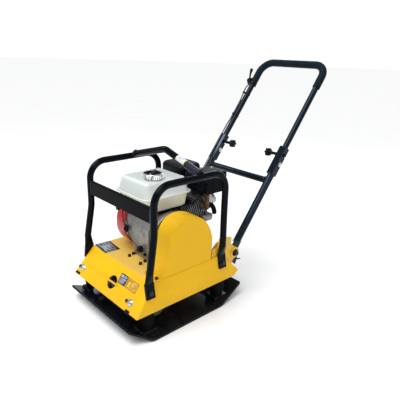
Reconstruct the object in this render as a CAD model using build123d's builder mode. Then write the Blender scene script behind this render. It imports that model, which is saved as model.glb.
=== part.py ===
from build123d import *
import math
import os

os.makedirs("parts", exist_ok=True)

# ------------------------------------------------------------------
# Walk-behind plate compactor.  Millimetres, +Z up, +X forward (away
# from the operator), +Y to the machine's left (belt side).  Origin:
# centre of the flat underside of the base plate, on the ground.
# ------------------------------------------------------------------

# base plate
PLATE_T = 8.0
FLAT_X0, FLAT_X1 = -148.5, 208.8
LIP_FRONT = (293.6, 51.0)
LIP_REAR = (-280.3, 55.0)
PLATE_HW, PLATE_HW_FRONT, PLATE_HW_REAR = 250.0, 216.0, 233.0

# deck (bent sheet over the base)
DECK_TOP = 214.5
DECK_BOT = 107.4
DECK_T = 4.0
DECK_XF, DECK_XR = 186.3, -178.0
DECK_XF_LOW, DECK_XR_LOW = 269.1, -265.0
DECK_Z_REAR = 126.0
DECK_HW_TOP, DECK_HW_BOT = 209.8, 229.6

# engine
CRANK_Z = 320.5
CYL_TILT = 20.0
CYL_Y = 15.0

# exciter
EXC_X, EXC_Z, EXC_R = 138.0, 82.0, 60.0

# belt drive
BELT_Y = 163.0
R_CLUTCH = 48.0
R_PULLEY = 31.0

# guard
GUARD_Y0, GUARD_Y1 = 126.0, 206.0
GUARD_T = 3.0

# cage
CAGE_R = 13.5
CAGE_WALL = 2.5
HOOP_Y = 214.0
HOOP_Z = 579.0
HOOP_XF, HOOP_XR = 180.0, -170.0
ARCH_X = -39.0
ARCH_R = 14.0
ARCH_Z = 645.0

# handle
PIV_X, PIV_Z = -260.0, 200.0
UX, UZ = -0.60743, 0.79437          # direction of the handle, pivot to grip
HANDLE_Y = 186.0
R_LOW, R_UP, R_GRIP = 16.0, 13.5, 17.5
S_CROSS, S_FOLD, S_KNOB, S_FORK = 352.0, 439.0, 486.0, 522.0
S_TOP = 968.0
CORNER_R = 62.0
CABLE_R = 3.0


# ------------------------------------------------------------------
# small helpers
# ------------------------------------------------------------------
def blk(x0, x1, y0, y1, z0, z1, mode=Mode.ADD):
    with Locations(((x0 + x1) / 2, (y0 + y1) / 2, (z0 + z1) / 2)):
        Box(abs(x1 - x0), abs(y1 - y0), abs(z1 - z0), mode=mode)


def rod(p0, p1, r, mode=Mode.ADD):
    a, b = Vector(*p0), Vector(*p1)
    with Locations(Plane(origin=a, z_dir=b - a)):
        Cylinder(r, (b - a).length, align=(Align.CENTER, Align.CENTER, Align.MIN), mode=mode)


def taper_rod(p0, p1, r0, r1, mode=Mode.ADD):
    a, b = Vector(*p0), Vector(*p1)
    with Locations(Plane(origin=a, z_dir=b - a)):
        Cone(r0, r1, (b - a).length, align=(Align.CENTER, Align.CENTER, Align.MIN), mode=mode)


def ball(p, r, mode=Mode.ADD):
    with Locations(p):
        Sphere(r, mode=mode)


def prism(plane, pts, h, r=0.0, mode=Mode.ADD):
    with BuildSketch(plane) as sk:
        with BuildLine():
            Polyline(*pts, close=True)
        make_face()
        if r:
            fillet(sk.vertices(), r)
    extrude(sk.sketch, amount=h, mode=mode)


def slab_y(pts, y0, y1, r=0.0, mode=Mode.ADD):
    prism(Plane(origin=(0, y1, 0), x_dir=(1, 0, 0), z_dir=(0, -1, 0)), pts, y1 - y0, r, mode)


def slab_x(pts, x0, x1, r=0.0, mode=Mode.ADD):
    prism(Plane(origin=(x0, 0, 0), x_dir=(0, 1, 0), z_dir=(1, 0, 0)), pts, x1 - x0, r, mode)


def slab_z(pts, z0, z1, r=0.0, mode=Mode.ADD):
    prism(Plane.XY.offset(z0), pts, z1 - z0, r, mode)


def rbox(x0, x1, y0, y1, z0, z1, rv, mode=Mode.ADD):
    with BuildSketch(Plane.XY.offset(z0)) as sk:
        with Locations(((x0 + x1) / 2, (y0 + y1) / 2)):
            RectangleRounded(x1 - x0, y1 - y0, rv)
    extrude(sk.sketch, amount=z1 - z0, mode=mode)


def hexa(p, d, af, h, mode=Mode.ADD):
    with BuildSketch(Plane(origin=p, z_dir=d)) as sk:
        RegularPolygon(af / 2, 6, major_radius=False)
    extrude(sk.sketch, amount=h, mode=mode)


def pipe(pts, radii, ro, ri=0.0, mode=Mode.ADD):
    with BuildLine() as ln:
        if len(pts) == 2:
            Line(pts[0], pts[1])
        else:
            FilletPolyline(*pts, radius=radii)
    path = ln.line
    with BuildSketch(Plane(origin=path @ 0, z_dir=path % 0)) as sk:
        Circle(ro)
        if ri:
            Circle(ri, mode=Mode.SUBTRACT)
    sweep(sk.sketch, path=path, mode=mode)
    return round(sum(e.length for e in path.edges()), 1)


def ease(edges, r):
    try:
        fillet(edges, r)
    except Exception:
        print("fillet skipped", r, len(edges))


def off_line(pts, t):
    # parallel copy of an open XZ polyline, t to the left of its direction
    out = []
    n = len(pts)
    for i in range(n):
        dirs = []
        if i > 0:
            dx, dz = pts[i][0] - pts[i - 1][0], pts[i][1] - pts[i - 1][1]
            k = math.hypot(dx, dz)
            dirs.append((-dz / k, dx / k))
        if i < n - 1:
            dx, dz = pts[i + 1][0] - pts[i][0], pts[i + 1][1] - pts[i][1]
            k = math.hypot(dx, dz)
            dirs.append((-dz / k, dx / k))
        nx = sum(d[0] for d in dirs)
        nz = sum(d[1] for d in dirs)
        k = math.hypot(nx, nz)
        nx, nz = nx / k, nz / k
        c = nx * dirs[0][0] + nz * dirs[0][1]
        out.append((pts[i][0] + nx * t / c, pts[i][1] + nz * t / c))
    return out


def H(s, y, n=0.0):
    # a point of the handle: s along it from the pivot, n out of its plane
    return (PIV_X + UX * s + UZ * n, y, PIV_Z + UZ * s - UX * n)


def save(bp, name):
    bp.part.label = name
    export_step(bp.part, "parts/" + name + ".step")


# ------------------------------------------------------------------
# BASE
# ------------------------------------------------------------------
MOUNTS = [(205.0, 195.0), (205.0, -195.0), (-165.0, 195.0), (-165.0, -195.0)]
MOUNT_Z0, MOUNT_Z1 = 34.0, 108.0
low = [LIP_REAR, (FLAT_X0, 0.0), (FLAT_X1, 0.0), LIP_FRONT]
upp = off_line(low, PLATE_T)
EXC_FEET = [(EXC_X + dx, y) for dx in (-42.0, 42.0) for y in (-100.0, 50.0)]
PAD_HOLES = [(x, y) for x in (-110.0, 150.0) for y in (-236.0, 236.0)]

with BuildPart() as base_plate:
    with BuildSketch(Plane(origin=(0, PLATE_HW, 0), x_dir=(1, 0, 0), z_dir=(0, -1, 0))) as sk:
        with BuildLine():
            l1 = FilletPolyline(*low, radius=60)
            l2 = FilletPolyline(*upp, radius=52)
            Line(l1 @ 0, l2 @ 0)
            Line(l1 @ 1, l2 @ 1)
        make_face()
    extrude(sk.sketch, amount=2 * PLATE_HW)
    slab_z([(296, 215), (FLAT_X1, PLATE_HW), (FLAT_X0, PLATE_HW), (-284, 232.5),
            (-284, -232.5), (FLAT_X0, -PLATE_HW), (FLAT_X1, -PLATE_HW), (296, -215)],
           -2, 90, r=16, mode=Mode.INTERSECT)
    for sy in (1, -1):
        y0, y1 = sorted((sy * 165.0, sy * 226.0))
        slab_y([(172, MOUNT_Z0), (172, 4), (FLAT_X1, 4), (238, 21.0), (238, MOUNT_Z0)], y0, y1)
        y0, y1 = sorted((sy * 166.0, sy * 226.0))
        slab_y([(-198, MOUNT_Z0), (-198, 24.4), (FLAT_X0, 4), (-132, 4), (-132, MOUNT_Z0)], y0, y1)
    for x, y in MOUNTS:
        rod((x, y, 14), (x, y, MOUNT_Z0 + 1), 5.0, mode=Mode.SUBTRACT)
    for x, y in EXC_FEET:
        rod((x, y, -1), (x, y, 12), 6.0, mode=Mode.SUBTRACT)
    for x, y in PAD_HOLES:
        rod((x, y, -1), (x, y, 12), 5.5, mode=Mode.SUBTRACT)
save(base_plate, "base_plate")

with BuildPart() as rubber_mounts:
    for x, y in MOUNTS:
        with BuildSketch(Plane(origin=(x, y, 0), x_dir=(1, 0, 0), z_dir=(0, -1, 0))) as sk:
            with BuildLine():
                Polyline((5.2, MOUNT_Z0), (27, MOUNT_Z0), (27, MOUNT_Z0 + 5))
                ThreePointArc((27, MOUNT_Z0 + 5), (32, (MOUNT_Z0 + MOUNT_Z1) / 2), (27, MOUNT_Z1 - 5))
                Polyline((27, MOUNT_Z1 - 5), (27, MOUNT_Z1), (5.2, MOUNT_Z1), (5.2, MOUNT_Z0))
            make_face()
        revolve(sk.sketch, axis=Axis((x, y, 0), (0, 0, 1)))
save(rubber_mounts, "rubber_mounts")

with BuildPart() as exciter_housing:
    rod((EXC_X, -146, EXC_Z), (EXC_X, 100, EXC_Z), EXC_R)
    slab_y([(EXC_X - 53, PLATE_T), (EXC_X + 53, PLATE_T), (EXC_X + 53, 24), (EXC_X + 46, 40),
            (EXC_X - 46, 40), (EXC_X - 53, 24)], -128, 80)
    for y in (-146, -66, 20, 94):
        rod((EXC_X, y, EXC_Z), (EXC_X, y + 6, EXC_Z), EXC_R + 5)
    # oil filler boss at the front right
    rod((188, -129, 25), (188, -129, 44), 17)
    taper_rod((188, -129, 44), (188, -129, 54), 17, 11)
    hexa((188, -129, 54), (0, 0, 1), 12, 6)
    rod((EXC_X, -200, EXC_Z), (EXC_X, 120, EXC_Z), 36, mode=Mode.SUBTRACT)
    for x, y in EXC_FEET:
        rod((x, y, 0), (x, y, 24), 6.3, mode=Mode.SUBTRACT)
        rod((x, y, 22), (x, y, 110), 13, mode=Mode.SUBTRACT)
save(exciter_housing, "exciter_housing")

with BuildPart() as exciter_covers:
    rod((EXC_X, -156, EXC_Z), (EXC_X, -146, EXC_Z), 56)
    rod((EXC_X, -146, EXC_Z), (EXC_X, -142, EXC_Z), 35.9)
    rod((EXC_X, -162, EXC_Z), (EXC_X, -156, EXC_Z), 24)
    rod((EXC_X, -152, EXC_Z), (EXC_X, -130, EXC_Z), 19, mode=Mode.SUBTRACT)
    rod((EXC_X, 100, EXC_Z), (EXC_X, 112, EXC_Z), 56)
    rod((EXC_X, 112, EXC_Z), (EXC_X, 122, EXC_Z), 26)
    rod((EXC_X, 90, EXC_Z), (EXC_X, 130, EXC_Z), 15.6, mode=Mode.SUBTRACT)
save(exciter_covers, "exciter_covers")

with BuildPart() as exciter_bearings:
    for y0, y1 in ((-141.5, -122.0), (74.0, 93.5)):
        rod((EXC_X, y0, EXC_Z), (EXC_X, y1, EXC_Z), 36.0)
        rod((EXC_X, y0 - 1, EXC_Z), (EXC_X, y1 + 1, EXC_Z), 15.05, mode=Mode.SUBTRACT)
save(exciter_bearings, "exciter_bearings")

with BuildPart() as exciter_shaft:
    rod((EXC_X, -150, EXC_Z), (EXC_X, 178, EXC_Z), 15.0)
    rod((EXC_X, -110, EXC_Z), (EXC_X, 45, EXC_Z), 33.0)
    blk(EXC_X - 40, EXC_X + 40, -121, 46, EXC_Z, EXC_Z + 40, mode=Mode.SUBTRACT)
    rod((EXC_X, -130, EXC_Z), (EXC_X, 55, EXC_Z), 15.0)
    rod((EXC_X, 178, EXC_Z), (EXC_X, 186, EXC_Z), 9.0)
save(exciter_shaft, "exciter_shaft")

with BuildPart() as base_bolts:
    for x, y in EXC_FEET:
        rod((x, y, 1.0), (x, y, 22.0), 6.0)
        rod((x, y, 22.0), (x, y, 24.5), 11.5)
        hexa((x, y, 24.5), (0, 0, 1), 19, 8)
    for k in range(6):
        a = math.radians(60 * k + 30)
        x, z = EXC_X + 46 * math.cos(a), EXC_Z + 46 * math.sin(a)
        hexa((x, -156, z), (0, -1, 0), 10, 5)
        hexa((x, 112, z), (0, 1, 0), 10, 5)
    for x, y in MOUNTS:
        rod((x, y, 15.0), (x, y, 117.5), 5.0)
        hexa((x, y, 114.2), (0, 0, 1), 17, 8)
save(base_bolts, "base_bolts")


# V groove pulley about the Y axis through (x, z)
def vpulley(x, z, r_pitch, y, hub_r, hub_y0, hub_y1, bore):
    ro = r_pitch + 6
    rb = r_pitch - 6.5
    rod((x, y - 13, z), (x, y + 13, z), ro)
    with BuildSketch(Plane(origin=(x, y, z), x_dir=(1, 0, 0), z_dir=(0, 0, 1))) as g:
        with BuildLine():
            Polyline((rb, -6.9), (ro + 2, -9.2), (ro + 2, 9.2), (rb, 6.9), close=True)
        make_face()
    revolve(g.sketch, axis=Axis((x, y, z), (0, 1, 0)), mode=Mode.SUBTRACT)
    rod((x, hub_y0, z), (x, hub_y1, z), hub_r)
    rod((x, hub_y0 - 1, z), (x, hub_y1 + 1, z), bore, mode=Mode.SUBTRACT)
    rod((x, y - 20, z), (x, y + 20, z), bore, mode=Mode.SUBTRACT)


with BuildPart() as exciter_pulley:
    vpulley(EXC_X, EXC_Z, R_PULLEY, BELT_Y, 22, 140, BELT_Y + 13, 15.0)
save(exciter_pulley, "exciter_pulley")

with BuildPart() as clutch_pulley:
    vpulley(0, CRANK_Z, R_CLUTCH, BELT_Y, 30, 130, BELT_Y + 13, 10.0)
    rod((0, 132, CRANK_Z), (0, 148, CRANK_Z), 52)
    rod((0, 131, CRANK_Z), (0, 146, CRANK_Z), 47, mode=Mode.SUBTRACT)
    rod((0, 131, CRANK_Z), (0, 148, CRANK_Z), 30)
    for sx in (1, -1):
        slab_y([(sx * 31, CRANK_Z - 22), (sx * 38, CRANK_Z - 22), (sx * 42, CRANK_Z),
                (sx * 38, CRANK_Z + 22), (sx * 31, CRANK_Z + 22)], 133, 147)
    rod((0, 120, CRANK_Z), (0, 180, CRANK_Z), 10.0, mode=Mode.SUBTRACT)
save(clutch_pulley, "clutch_pulley")


def belt_loop(r0, r1):
    # closed outline around two circles with outside tangents
    dx, dz = EXC_X, EXC_Z - CRANK_Z
    d = math.hypot(dx, dz)
    base = math.atan2(dz, dx)
    out = []
    for sgn in (1, -1):
        a = base + sgn * math.acos((r0 - r1) / d)
        out.append(((r0 * math.cos(a), CRANK_Z + r0 * math.sin(a)),
                    (EXC_X + r1 * math.cos(a), EXC_Z + r1 * math.sin(a))))
    return out, base


def loop_face(r0, r1, plane):
    t, base = belt_loop(r0, r1)
    (a0, a1), (b0, b1) = t
    m0 = (-r0 * math.cos(base), CRANK_Z - r0 * math.sin(base))
    m1 = (EXC_X + r1 * math.cos(base), EXC_Z + r1 * math.sin(base))
    with BuildSketch(plane) as f:
        with BuildLine():
            Line(a0, a1)
            ThreePointArc(a1, m1, b1)
            Line(b1, b0)
            ThreePointArc(b0, m0, a0)
        make_face()
    return f.sketch


with BuildPart() as drive_belt:
    pl = Plane(origin=(0, BELT_Y + 6.5, 0), x_dir=(1, 0, 0), z_dir=(0, -1, 0))
    extrude(loop_face(R_CLUTCH + 4, R_PULLEY + 4, pl), amount=13)
    extrude(loop_face(R_CLUTCH - 6, R_PULLEY - 6, pl), amount=13, mode=Mode.SUBTRACT)
save(drive_belt, "drive_belt")

# ------------------------------------------------------------------
# DECK
# ------------------------------------------------------------------
SLX = (DECK_XF_LOW - DECK_XF, DECK_BOT - DECK_TOP)
SLK = math.hypot(*SLX)
FN = (-SLX[1] / SLK, 0.0, SLX[0] / SLK)         # outward normal of the front slope


def on_front(y, z, out=0.0):
    x = DECK_XF + (DECK_TOP - z) * SLX[0] / -SLX[1]
    return (x + FN[0] * out, y, z + FN[2] * out)


DOMES = [(-191.0, 136.5), (159.0, 136.0)]
CLAMPS = [(123.5, -27.0, 100.5, -32.0), (129.5, 58.5, 103.4, 52.4)]
ENG_FEET = [(x, y) for x in (-81.0, 81.0) for y in (CYL_Y - 37.75, CYL_Y + 37.75)]
GUARD_FEET = [(154, 138), (154, 194), (-140, 138), (-140, 178)]

with BuildPart() as cavity:
    slab_y([(-285.0, 99.9), (-176.3, 210.5), (184.3, 210.5), (269.8, 99.9)], -260, 260)
    slab_x([(-229.6 + 2.7, 100), (-205.73, 210.5), (205.73, 210.5), (229.6 - 2.7, 100)],
           -300, 300, mode=Mode.INTERSECT)

with BuildPart() as deck:
    slab_y([(-235.7, DECK_BOT), (DECK_XR_LOW, DECK_Z_REAR), (DECK_XR, DECK_TOP),
            (DECK_XF, DECK_TOP), (DECK_XF_LOW, DECK_BOT)], -260, 260)
    slab_x([(-DECK_HW_BOT, DECK_BOT), (-DECK_HW_TOP, DECK_TOP), (DECK_HW_TOP, DECK_TOP),
            (DECK_HW_BOT, DECK_BOT)], -300, 300, mode=Mode.INTERSECT)
    fold = deck.edges().filter_by(lambda e: e.bounding_box().max.Z > DECK_TOP - 1)
    ease(fold, 5)
    add(cavity.part, mode=Mode.SUBTRACT)
    # horizontal corner shelves that stand on the rubber mounts
    for x, y in MOUNTS:
        sy = 1 if y > 0 else -1
        ya, yb = sorted((sy * 164.0, sy * 226.0))
        blk(x - 34, x + 34, ya, yb, MOUNT_Z1, 114)
    # front rod, inspection hole, belt opening
    rod((233.5, -173, 152.2), (233.5, 52, 154.2), 4.0)
    c = on_front(13, 153.7)
    rod((c[0] - FN[0] * 20, c[1], c[2] - FN[2] * 20), (c[0] + FN[0] * 2, c[1], c[2] + FN[2] * 2),
        27, mode=Mode.SUBTRACT)
    rod((233.5, -20, 153.6), (233.5, 50, 154.2), 3.6)
    blk(-4, 131, 140, 186, 200, 220, mode=Mode.SUBTRACT)
    for x, y in MOUNTS:
        rod((x, y, 100), (x, y, 120), 5.2, mode=Mode.SUBTRACT)
    for x, y in ENG_FEET:
        rod((x, y, 200), (x, y, 220), 4.6, mode=Mode.SUBTRACT)
    for x0, y0, x1, y1 in CLAMPS:
        rod((x0, y0, 200), (x0, y0, 220), 4.1, mode=Mode.SUBTRACT)
        rod((x1, y1, 200), (x1, y1, 220), 4.1, mode=Mode.SUBTRACT)
    for x, y in GUARD_FEET:
        rod((x, y, 200), (x, y, 220), 4.1, mode=Mode.SUBTRACT)
    for y, z in DOMES:
        a, b = on_front(y, z, -10), on_front(y, z, 4)
        rod(a, b, 5.0, mode=Mode.SUBTRACT)
    # keep the shelves inside the sheet
    slab_x([(-DECK_HW_BOT - 0.2, DECK_BOT - 1), (-DECK_HW_TOP - 0.2, DECK_TOP + 1),
            (DECK_HW_TOP + 0.2, DECK_TOP + 1), (DECK_HW_BOT + 0.2, DECK_BOT - 1)],
           -300, 300, mode=Mode.INTERSECT)
save(deck, "deck")

# flattened cage feet lie on the side slopes
SIDE_A = math.atan2(DECK_HW_BOT - DECK_HW_TOP, DECK_TOP - DECK_BOT)
SN = (0.0, math.cos(SIDE_A), math.sin(SIDE_A))
LEG_FEET = [(202.0, 186.0), (-168.0, 187.0)]


def on_side(x, z, out=0.0, sy=1):
    y = DECK_HW_TOP + (DECK_TOP - z) * math.tan(SIDE_A)
    return (x, sy * (y + SN[1] * out), z + SN[2] * out)


with BuildPart() as deck_bolts:
    for y, z in DOMES:
        a, b = on_front(y, z, 0), on_front(y, z, 2.5)
        rod(on_front(y, z, -9), b, 4.9)
        rod(a, b, 14)
        taper_rod(b, on_front(y, z, 8.5), 12.5, 6)
        hexa(on_front(y - 21, z - 1, 0), FN, 11, 6)
    for x0, y0, x1, y1 in CLAMPS:
        for x, y in ((x0, y0), (x1, y1)):
            rod((x, y, 206), (x, y, DECK_TOP), 4.0)
            rod((x, y, DECK_TOP), (x, y, DECK_TOP + 2), 7.5)
            hexa((x, y, DECK_TOP + 2), (0, 0, 1), 12, 6)
    for x, y in GUARD_FEET:
        rod((x, y, 206), (x, y, DECK_TOP + 3), 4.0)
        hexa((x, y, DECK_TOP + 3), (0, 0, 1), 13, 6)
save(deck_bolts, "deck_bolts")

# ------------------------------------------------------------------
# BELT GUARD
# ------------------------------------------------------------------
GUARD_OUT = [(140, DECK_TOP), (124, 270), (108, 325), (98, 362), (80, 398), (52, 420), (18, 428),
             (-19, 424), (-62, 406), (-89, 382), (-110, 347), (-122, 311), (-122, 284), (-121, DECK_TOP)]


def guard_face(inset, plane, z_low):
    p = off_line(GUARD_OUT, inset) if inset else GUARD_OUT
    with BuildSketch(plane) as f:
        with BuildLine():
            s = Spline(*[(x, z) for x, z in p[1:12]],
                       tangents=[(-14, 55), (-8, -30)])
            Polyline(s @ 1, (p[12][0], p[12][1]), (p[13][0], z_low), (p[0][0], z_low), s @ 0)
        make_face()
    return f.sketch


with BuildPart() as belt_guard:
    extrude(guard_face(0, Plane(origin=(0, GUARD_Y1, 0), x_dir=(1, 0, 0), z_dir=(0, -1, 0)), DECK_TOP),
            amount=GUARD_Y1 - GUARD_Y0)
    rim = belt_guard.faces().sort_by(Axis.Y)[-1].edges().filter_by(
        lambda e: e.center().Z > DECK_TOP + 2)
    ease(rim, 9)
    extrude(guard_face(GUARD_T, Plane(origin=(0, GUARD_Y1 - GUARD_T, 0), x_dir=(1, 0, 0),
                                      z_dir=(0, -1, 0)), DECK_TOP - 3),
            amount=GUARD_Y1 - GUARD_Y0 + 10, mode=Mode.SUBTRACT)
    # foot flanges, each side of the opening
    blk(137.5, 165, GUARD_Y0, 208, DECK_TOP, DECK_TOP + 3)
    blk(-157, -118.5, GUARD_Y0, 190, DECK_TOP, DECK_TOP + 3)
    for x, y in GUARD_FEET:
        rod((x, y, 200), (x, y, 230), 4.1, mode=Mode.SUBTRACT)
    # small side lug at the rear of the arch
    rod((-121, 170, 309), (-121, 190, 309), 6)
    extrude(guard_face(GUARD_T, Plane(origin=(0, GUARD_Y1 - GUARD_T, 0), x_dir=(1, 0, 0),
                                      z_dir=(0, -1, 0)), DECK_TOP - 3),
            amount=GUARD_Y1 - GUARD_Y0 + 10, mode=Mode.SUBTRACT)
save(belt_guard, "belt_guard")

# ------------------------------------------------------------------
# ENGINE
# ------------------------------------------------------------------
CD = (-math.cos(math.radians(CYL_TILT)), 0.0, math.sin(math.radians(CYL_TILT)))
CN = (math.sin(math.radians(CYL_TILT)), 0.0, math.cos(math.radians(CYL_TILT)))


def C(s, y, n=0.0):
    return (CD[0] * s + CN[0] * n, y, CRANK_Z + CD[2] * s + CN[2] * n)


def cyl_plane(s):
    return Plane(origin=C(s, CYL_Y), x_dir=(0, 1, 0), z_dir=CD)


def cyl_block(s0, s1, wy, wn, r, mode=Mode.ADD):
    with BuildSketch(cyl_plane(s0)) as sk:
        RectangleRounded(wy, wn, r)
    extrude(sk.sketch, amount=s1 - s0, mode=mode)


CASE_REAR = -80.0
with BuildPart() as crankcase:
    slab_y([(CASE_REAR, 222), (88, 222), (97, 262), (97, 345), (68, 392), (-30, 400),
            (CASE_REAR, 392)], -42, 68, r=12)
    blk(CASE_REAR, -60, -42, 68, 235, 380)
    rod((0, -92, CRANK_Z), (0, -42, CRANK_Z), 98)
    rod((0, -93, CRANK_Z), (0, -50, CRANK_Z), 91, mode=Mode.SUBTRACT)
    for a in range(12):
        t = math.radians(a * 30 + 10)
        if math.sin(t) > -0.8:
            rod((94 * math.cos(t), -90, CRANK_Z + 94 * math.sin(t)),
                (94 * math.cos(t), -44, CRANK_Z + 94 * math.sin(t)), 6.5)
    for x in (-81, 81):
        rbox(x - 14, x + 11, CYL_Y - 54, CYL_Y + 54, DECK_TOP, DECK_TOP + 13, 5)
    blk(-88, 88, CYL_Y - 46, CYL_Y + 46, DECK_TOP + 5, 230)
    rod((0, -36, CRANK_Z), (0, 70, CRANK_Z), 62, mode=Mode.SUBTRACT)
    rod((0, -60, CRANK_Z), (0, -20, CRANK_Z), 12.6, mode=Mode.SUBTRACT)
    rod(C(30, CYL_Y), C(110, CYL_Y), 34, mode=Mode.SUBTRACT)
    for x, y in ENG_FEET:
        rod((x, y, 210), (x, y, 240), 4.3, mode=Mode.SUBTRACT)
        rod((x, y, DECK_TOP + 13), (x, y, 252), 9.5, mode=Mode.SUBTRACT)
    rod((80, 30, 252), (106, 30, 262), 13)
save(crankcase, "crankcase")

with BuildPart() as crankcase_cover:
    with BuildSketch(Plane(origin=(0, 68, CRANK_Z), x_dir=(1, 0, 0), z_dir=(0, 1, 0))) as sk:
        Circle(84)
        with Locations((30, 40)):
            Circle(46)
    extrude(sk.sketch, amount=20)
    ease(crankcase_cover.edges().group_by(Axis.Y)[-1], 6)
    rod((0, 86, CRANK_Z), (0, 98, CRANK_Z), 32)
    for k in range(4):
        t = math.radians(k * 90 + 45)
        rod((38 * math.cos(t), 86, CRANK_Z + 38 * math.sin(t)),
            (38 * math.cos(t), 96, CRANK_Z + 38 * math.sin(t)), 9)
    rod((0, 60, CRANK_Z), (0, 100, CRANK_Z), 12.55, mode=Mode.SUBTRACT)
save(crankcase_cover, "crankcase_cover")

with BuildPart() as crankshaft:
    rod((0, -150, CRANK_Z), (0, -50, CRANK_Z), 10.0)
    rod((0, -50, CRANK_Z), (0, -8, CRANK_Z), 12.5)
    rod((0, 38, CRANK_Z), (0, 99, CRANK_Z), 12.5)
    rod((0, 99, CRANK_Z), (0, 182, CRANK_Z), 10.0)
    for y in (-8, 24):
        slab_y([(-22, CRANK_Z - 46), (22, CRANK_Z - 46), (30, CRANK_Z - 10), (16, CRANK_Z + 40),
                (-16, CRANK_Z + 40), (-30, CRANK_Z - 10)], y, y + 14, r=6)
    rod((0, 4, CRANK_Z + 26), (0, 26, CRANK_Z + 26), 12)
    rod((0, 182, CRANK_Z), (0, 186, CRANK_Z), 14)
    hexa((0, 186, CRANK_Z), (0, 1, 0), 14, 7)
save(crankshaft, "crankshaft")

with BuildPart() as flywheel_fan:
    rod((0, -112, CRANK_Z), (0, -97, CRANK_Z), 84)
    rod((0, -148, CRANK_Z), (0, -97, CRANK_Z), 22)
    for k in range(16):
        with BuildSketch(Plane(origin=(0, -112, CRANK_Z), x_dir=(1, 0, 0), z_dir=(0, -1, 0))) as sk:
            with PolarLocations(60, 1, start_angle=22.5 * k):
                Rectangle(42, 2.5, rotation=18)
        extrude(sk.sketch, amount=22)
    rod((0, -160, CRANK_Z), (0, -90, CRANK_Z), 10.0, mode=Mode.SUBTRACT)
save(flywheel_fan, "flywheel_fan")

SHROUD = [(-150, 262), (-170, 300), (-176, 390), (-150, 412), (-60, 424)]
with BuildPart() as fan_shroud:
    rod((0, -148, CRANK_Z), (0, -92, CRANK_Z), 103)
    slab_y([(-60, 240), (-150, 300), (-168, 330), (-168, 398), (-140, 414), (-20, 423), (0, 330)],
           -148, -92, r=6)
    ease(fan_shroud.edges().group_by(Axis.Y)[0], 8)
    rod((0, -145, CRANK_Z), (0, -80, CRANK_Z), 99, mode=Mode.SUBTRACT)
    slab_y([(-60, 246), (-148, 304), (-164, 332), (-164, 395), (-138, 410), (-20, 419), (0, 330)],
           -145, -80, mode=Mode.SUBTRACT)
    rod((0, -160, CRANK_Z), (0, -140, CRANK_Z), 80, mode=Mode.SUBTRACT)
save(fan_shroud, "fan_shroud")

GRIP_Z = CRANK_Z + 72
with BuildPart() as recoil_cover:
    rod((0, -162, CRANK_Z), (0, -148, CRANK_Z), 90)
    rod((0, -186, CRANK_Z), (0, -162, CRANK_Z), 84)
    ease(recoil_cover.edges().group_by(Axis.Y)[0], 10)
    rod((0, -183, CRANK_Z), (0, -140, CRANK_Z), 78, mode=Mode.SUBTRACT)
    rod((0, -192, CRANK_Z), (0, -184, CRANK_Z), 30)
    # rope outlet boss at the front upper rim
    rod((22, -170, GRIP_Z), (67, -170, GRIP_Z), 9)
    rod((0, -170, GRIP_Z), (68, -170, GRIP_Z), 3.6, mode=Mode.SUBTRACT)
    for k in range(14):
        t = 360 / 14 * k
        with BuildSketch(Plane(origin=(0, -180, CRANK_Z), x_dir=(1, 0, 0), z_dir=(0, -1, 0))) as sk:
            with PolarLocations(54, 1, start_angle=t):
                SlotOverall(34, 9)
        extrude(sk.sketch, amount=12, mode=Mode.SUBTRACT)
save(recoil_cover, "recoil_cover")

with BuildPart() as starter_grip:
    rod((-19, -170, GRIP_Z), (74, -170, GRIP_Z), 2.6)
    slab_y([(69.5, GRIP_Z - 13), (76, GRIP_Z - 28), (86, GRIP_Z - 28), (89, GRIP_Z),
            (86, GRIP_Z + 28), (76, GRIP_Z + 28), (69.5, GRIP_Z + 13)], -178, -162, r=3)
    ease(starter_grip.edges().filter_by(Axis.Y), 1.0)
save(starter_grip, "starter_grip")

with BuildPart() as cylinder:
    cyl_block(60, 176, 84, 84, 20)
    for k in range(9):
        cyl_block(92 + k * 9.4, 95 + k * 9.4, 106, 96, 20)
    blk(CASE_REAR, 120, -90, 120, 200, 460, mode=Mode.SUBTRACT)
    blk(-141, 0, -90, 120, 405, 460, mode=Mode.SUBTRACT)
    rod(C(40, CYL_Y), C(180, CYL_Y), 34, mode=Mode.SUBTRACT)
save(cylinder, "cylinder")

with BuildPart() as cylinder_head:
    cyl_block(176, 232, 92, 96, 22)
    for k in range(5):
        cyl_block(178 + k * 9.4, 181 + k * 9.4, 108, 104, 22)
    rod(C(206, CYL_Y + 40, 0), C(206, CYL_Y + 62, 0), 20)
    rod(C(206, CYL_Y - 62, 4), C(206, CYL_Y - 40, 4), 18)
    rod(C(206, CYL_Y + 30, 0), C(206, CYL_Y + 64, 0), 10, mode=Mode.SUBTRACT)
    rod(C(222, CYL_Y - 10, -50), C(222, CYL_Y - 10, -70), 11)
save(cylinder_head, "cylinder_head")

with BuildPart() as valve_cover:
    cyl_block(232, 276, 88, 88, 30)
    ease(valve_cover.faces().sort_by(Axis.X)[0].edges(), 14)
    cyl_block(232, 238, 100, 100, 26)
    rod(C(268, CYL_Y + 19, -19), C(294, CYL_Y + 19, -19), 25)
    ease(valve_cover.faces().sort_by(Axis.X)[0].edges(), 4)
save(valve_cover, "valve_cover")

with BuildPart() as plug_boot:
    a, b = C(222, CYL_Y - 10, -70), C(232, CYL_Y - 10, -100)
    rod(C(222, CYL_Y - 10, -70.2), C(222, CYL_Y - 10, -104), 12)
    ball(C(222, CYL_Y - 10, -104), 12)
    p = C(222, CYL_Y - 10, -104)
    pipe([p, (p[0] + 18, p[1] - 24, p[2] - 14), (p[0] + 60, p[1] - 52, p[2] - 22),
          (-132, -80, p[2] - 6)], [16, 30], 3.6)
save(plug_boot, "plug_boot")

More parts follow.
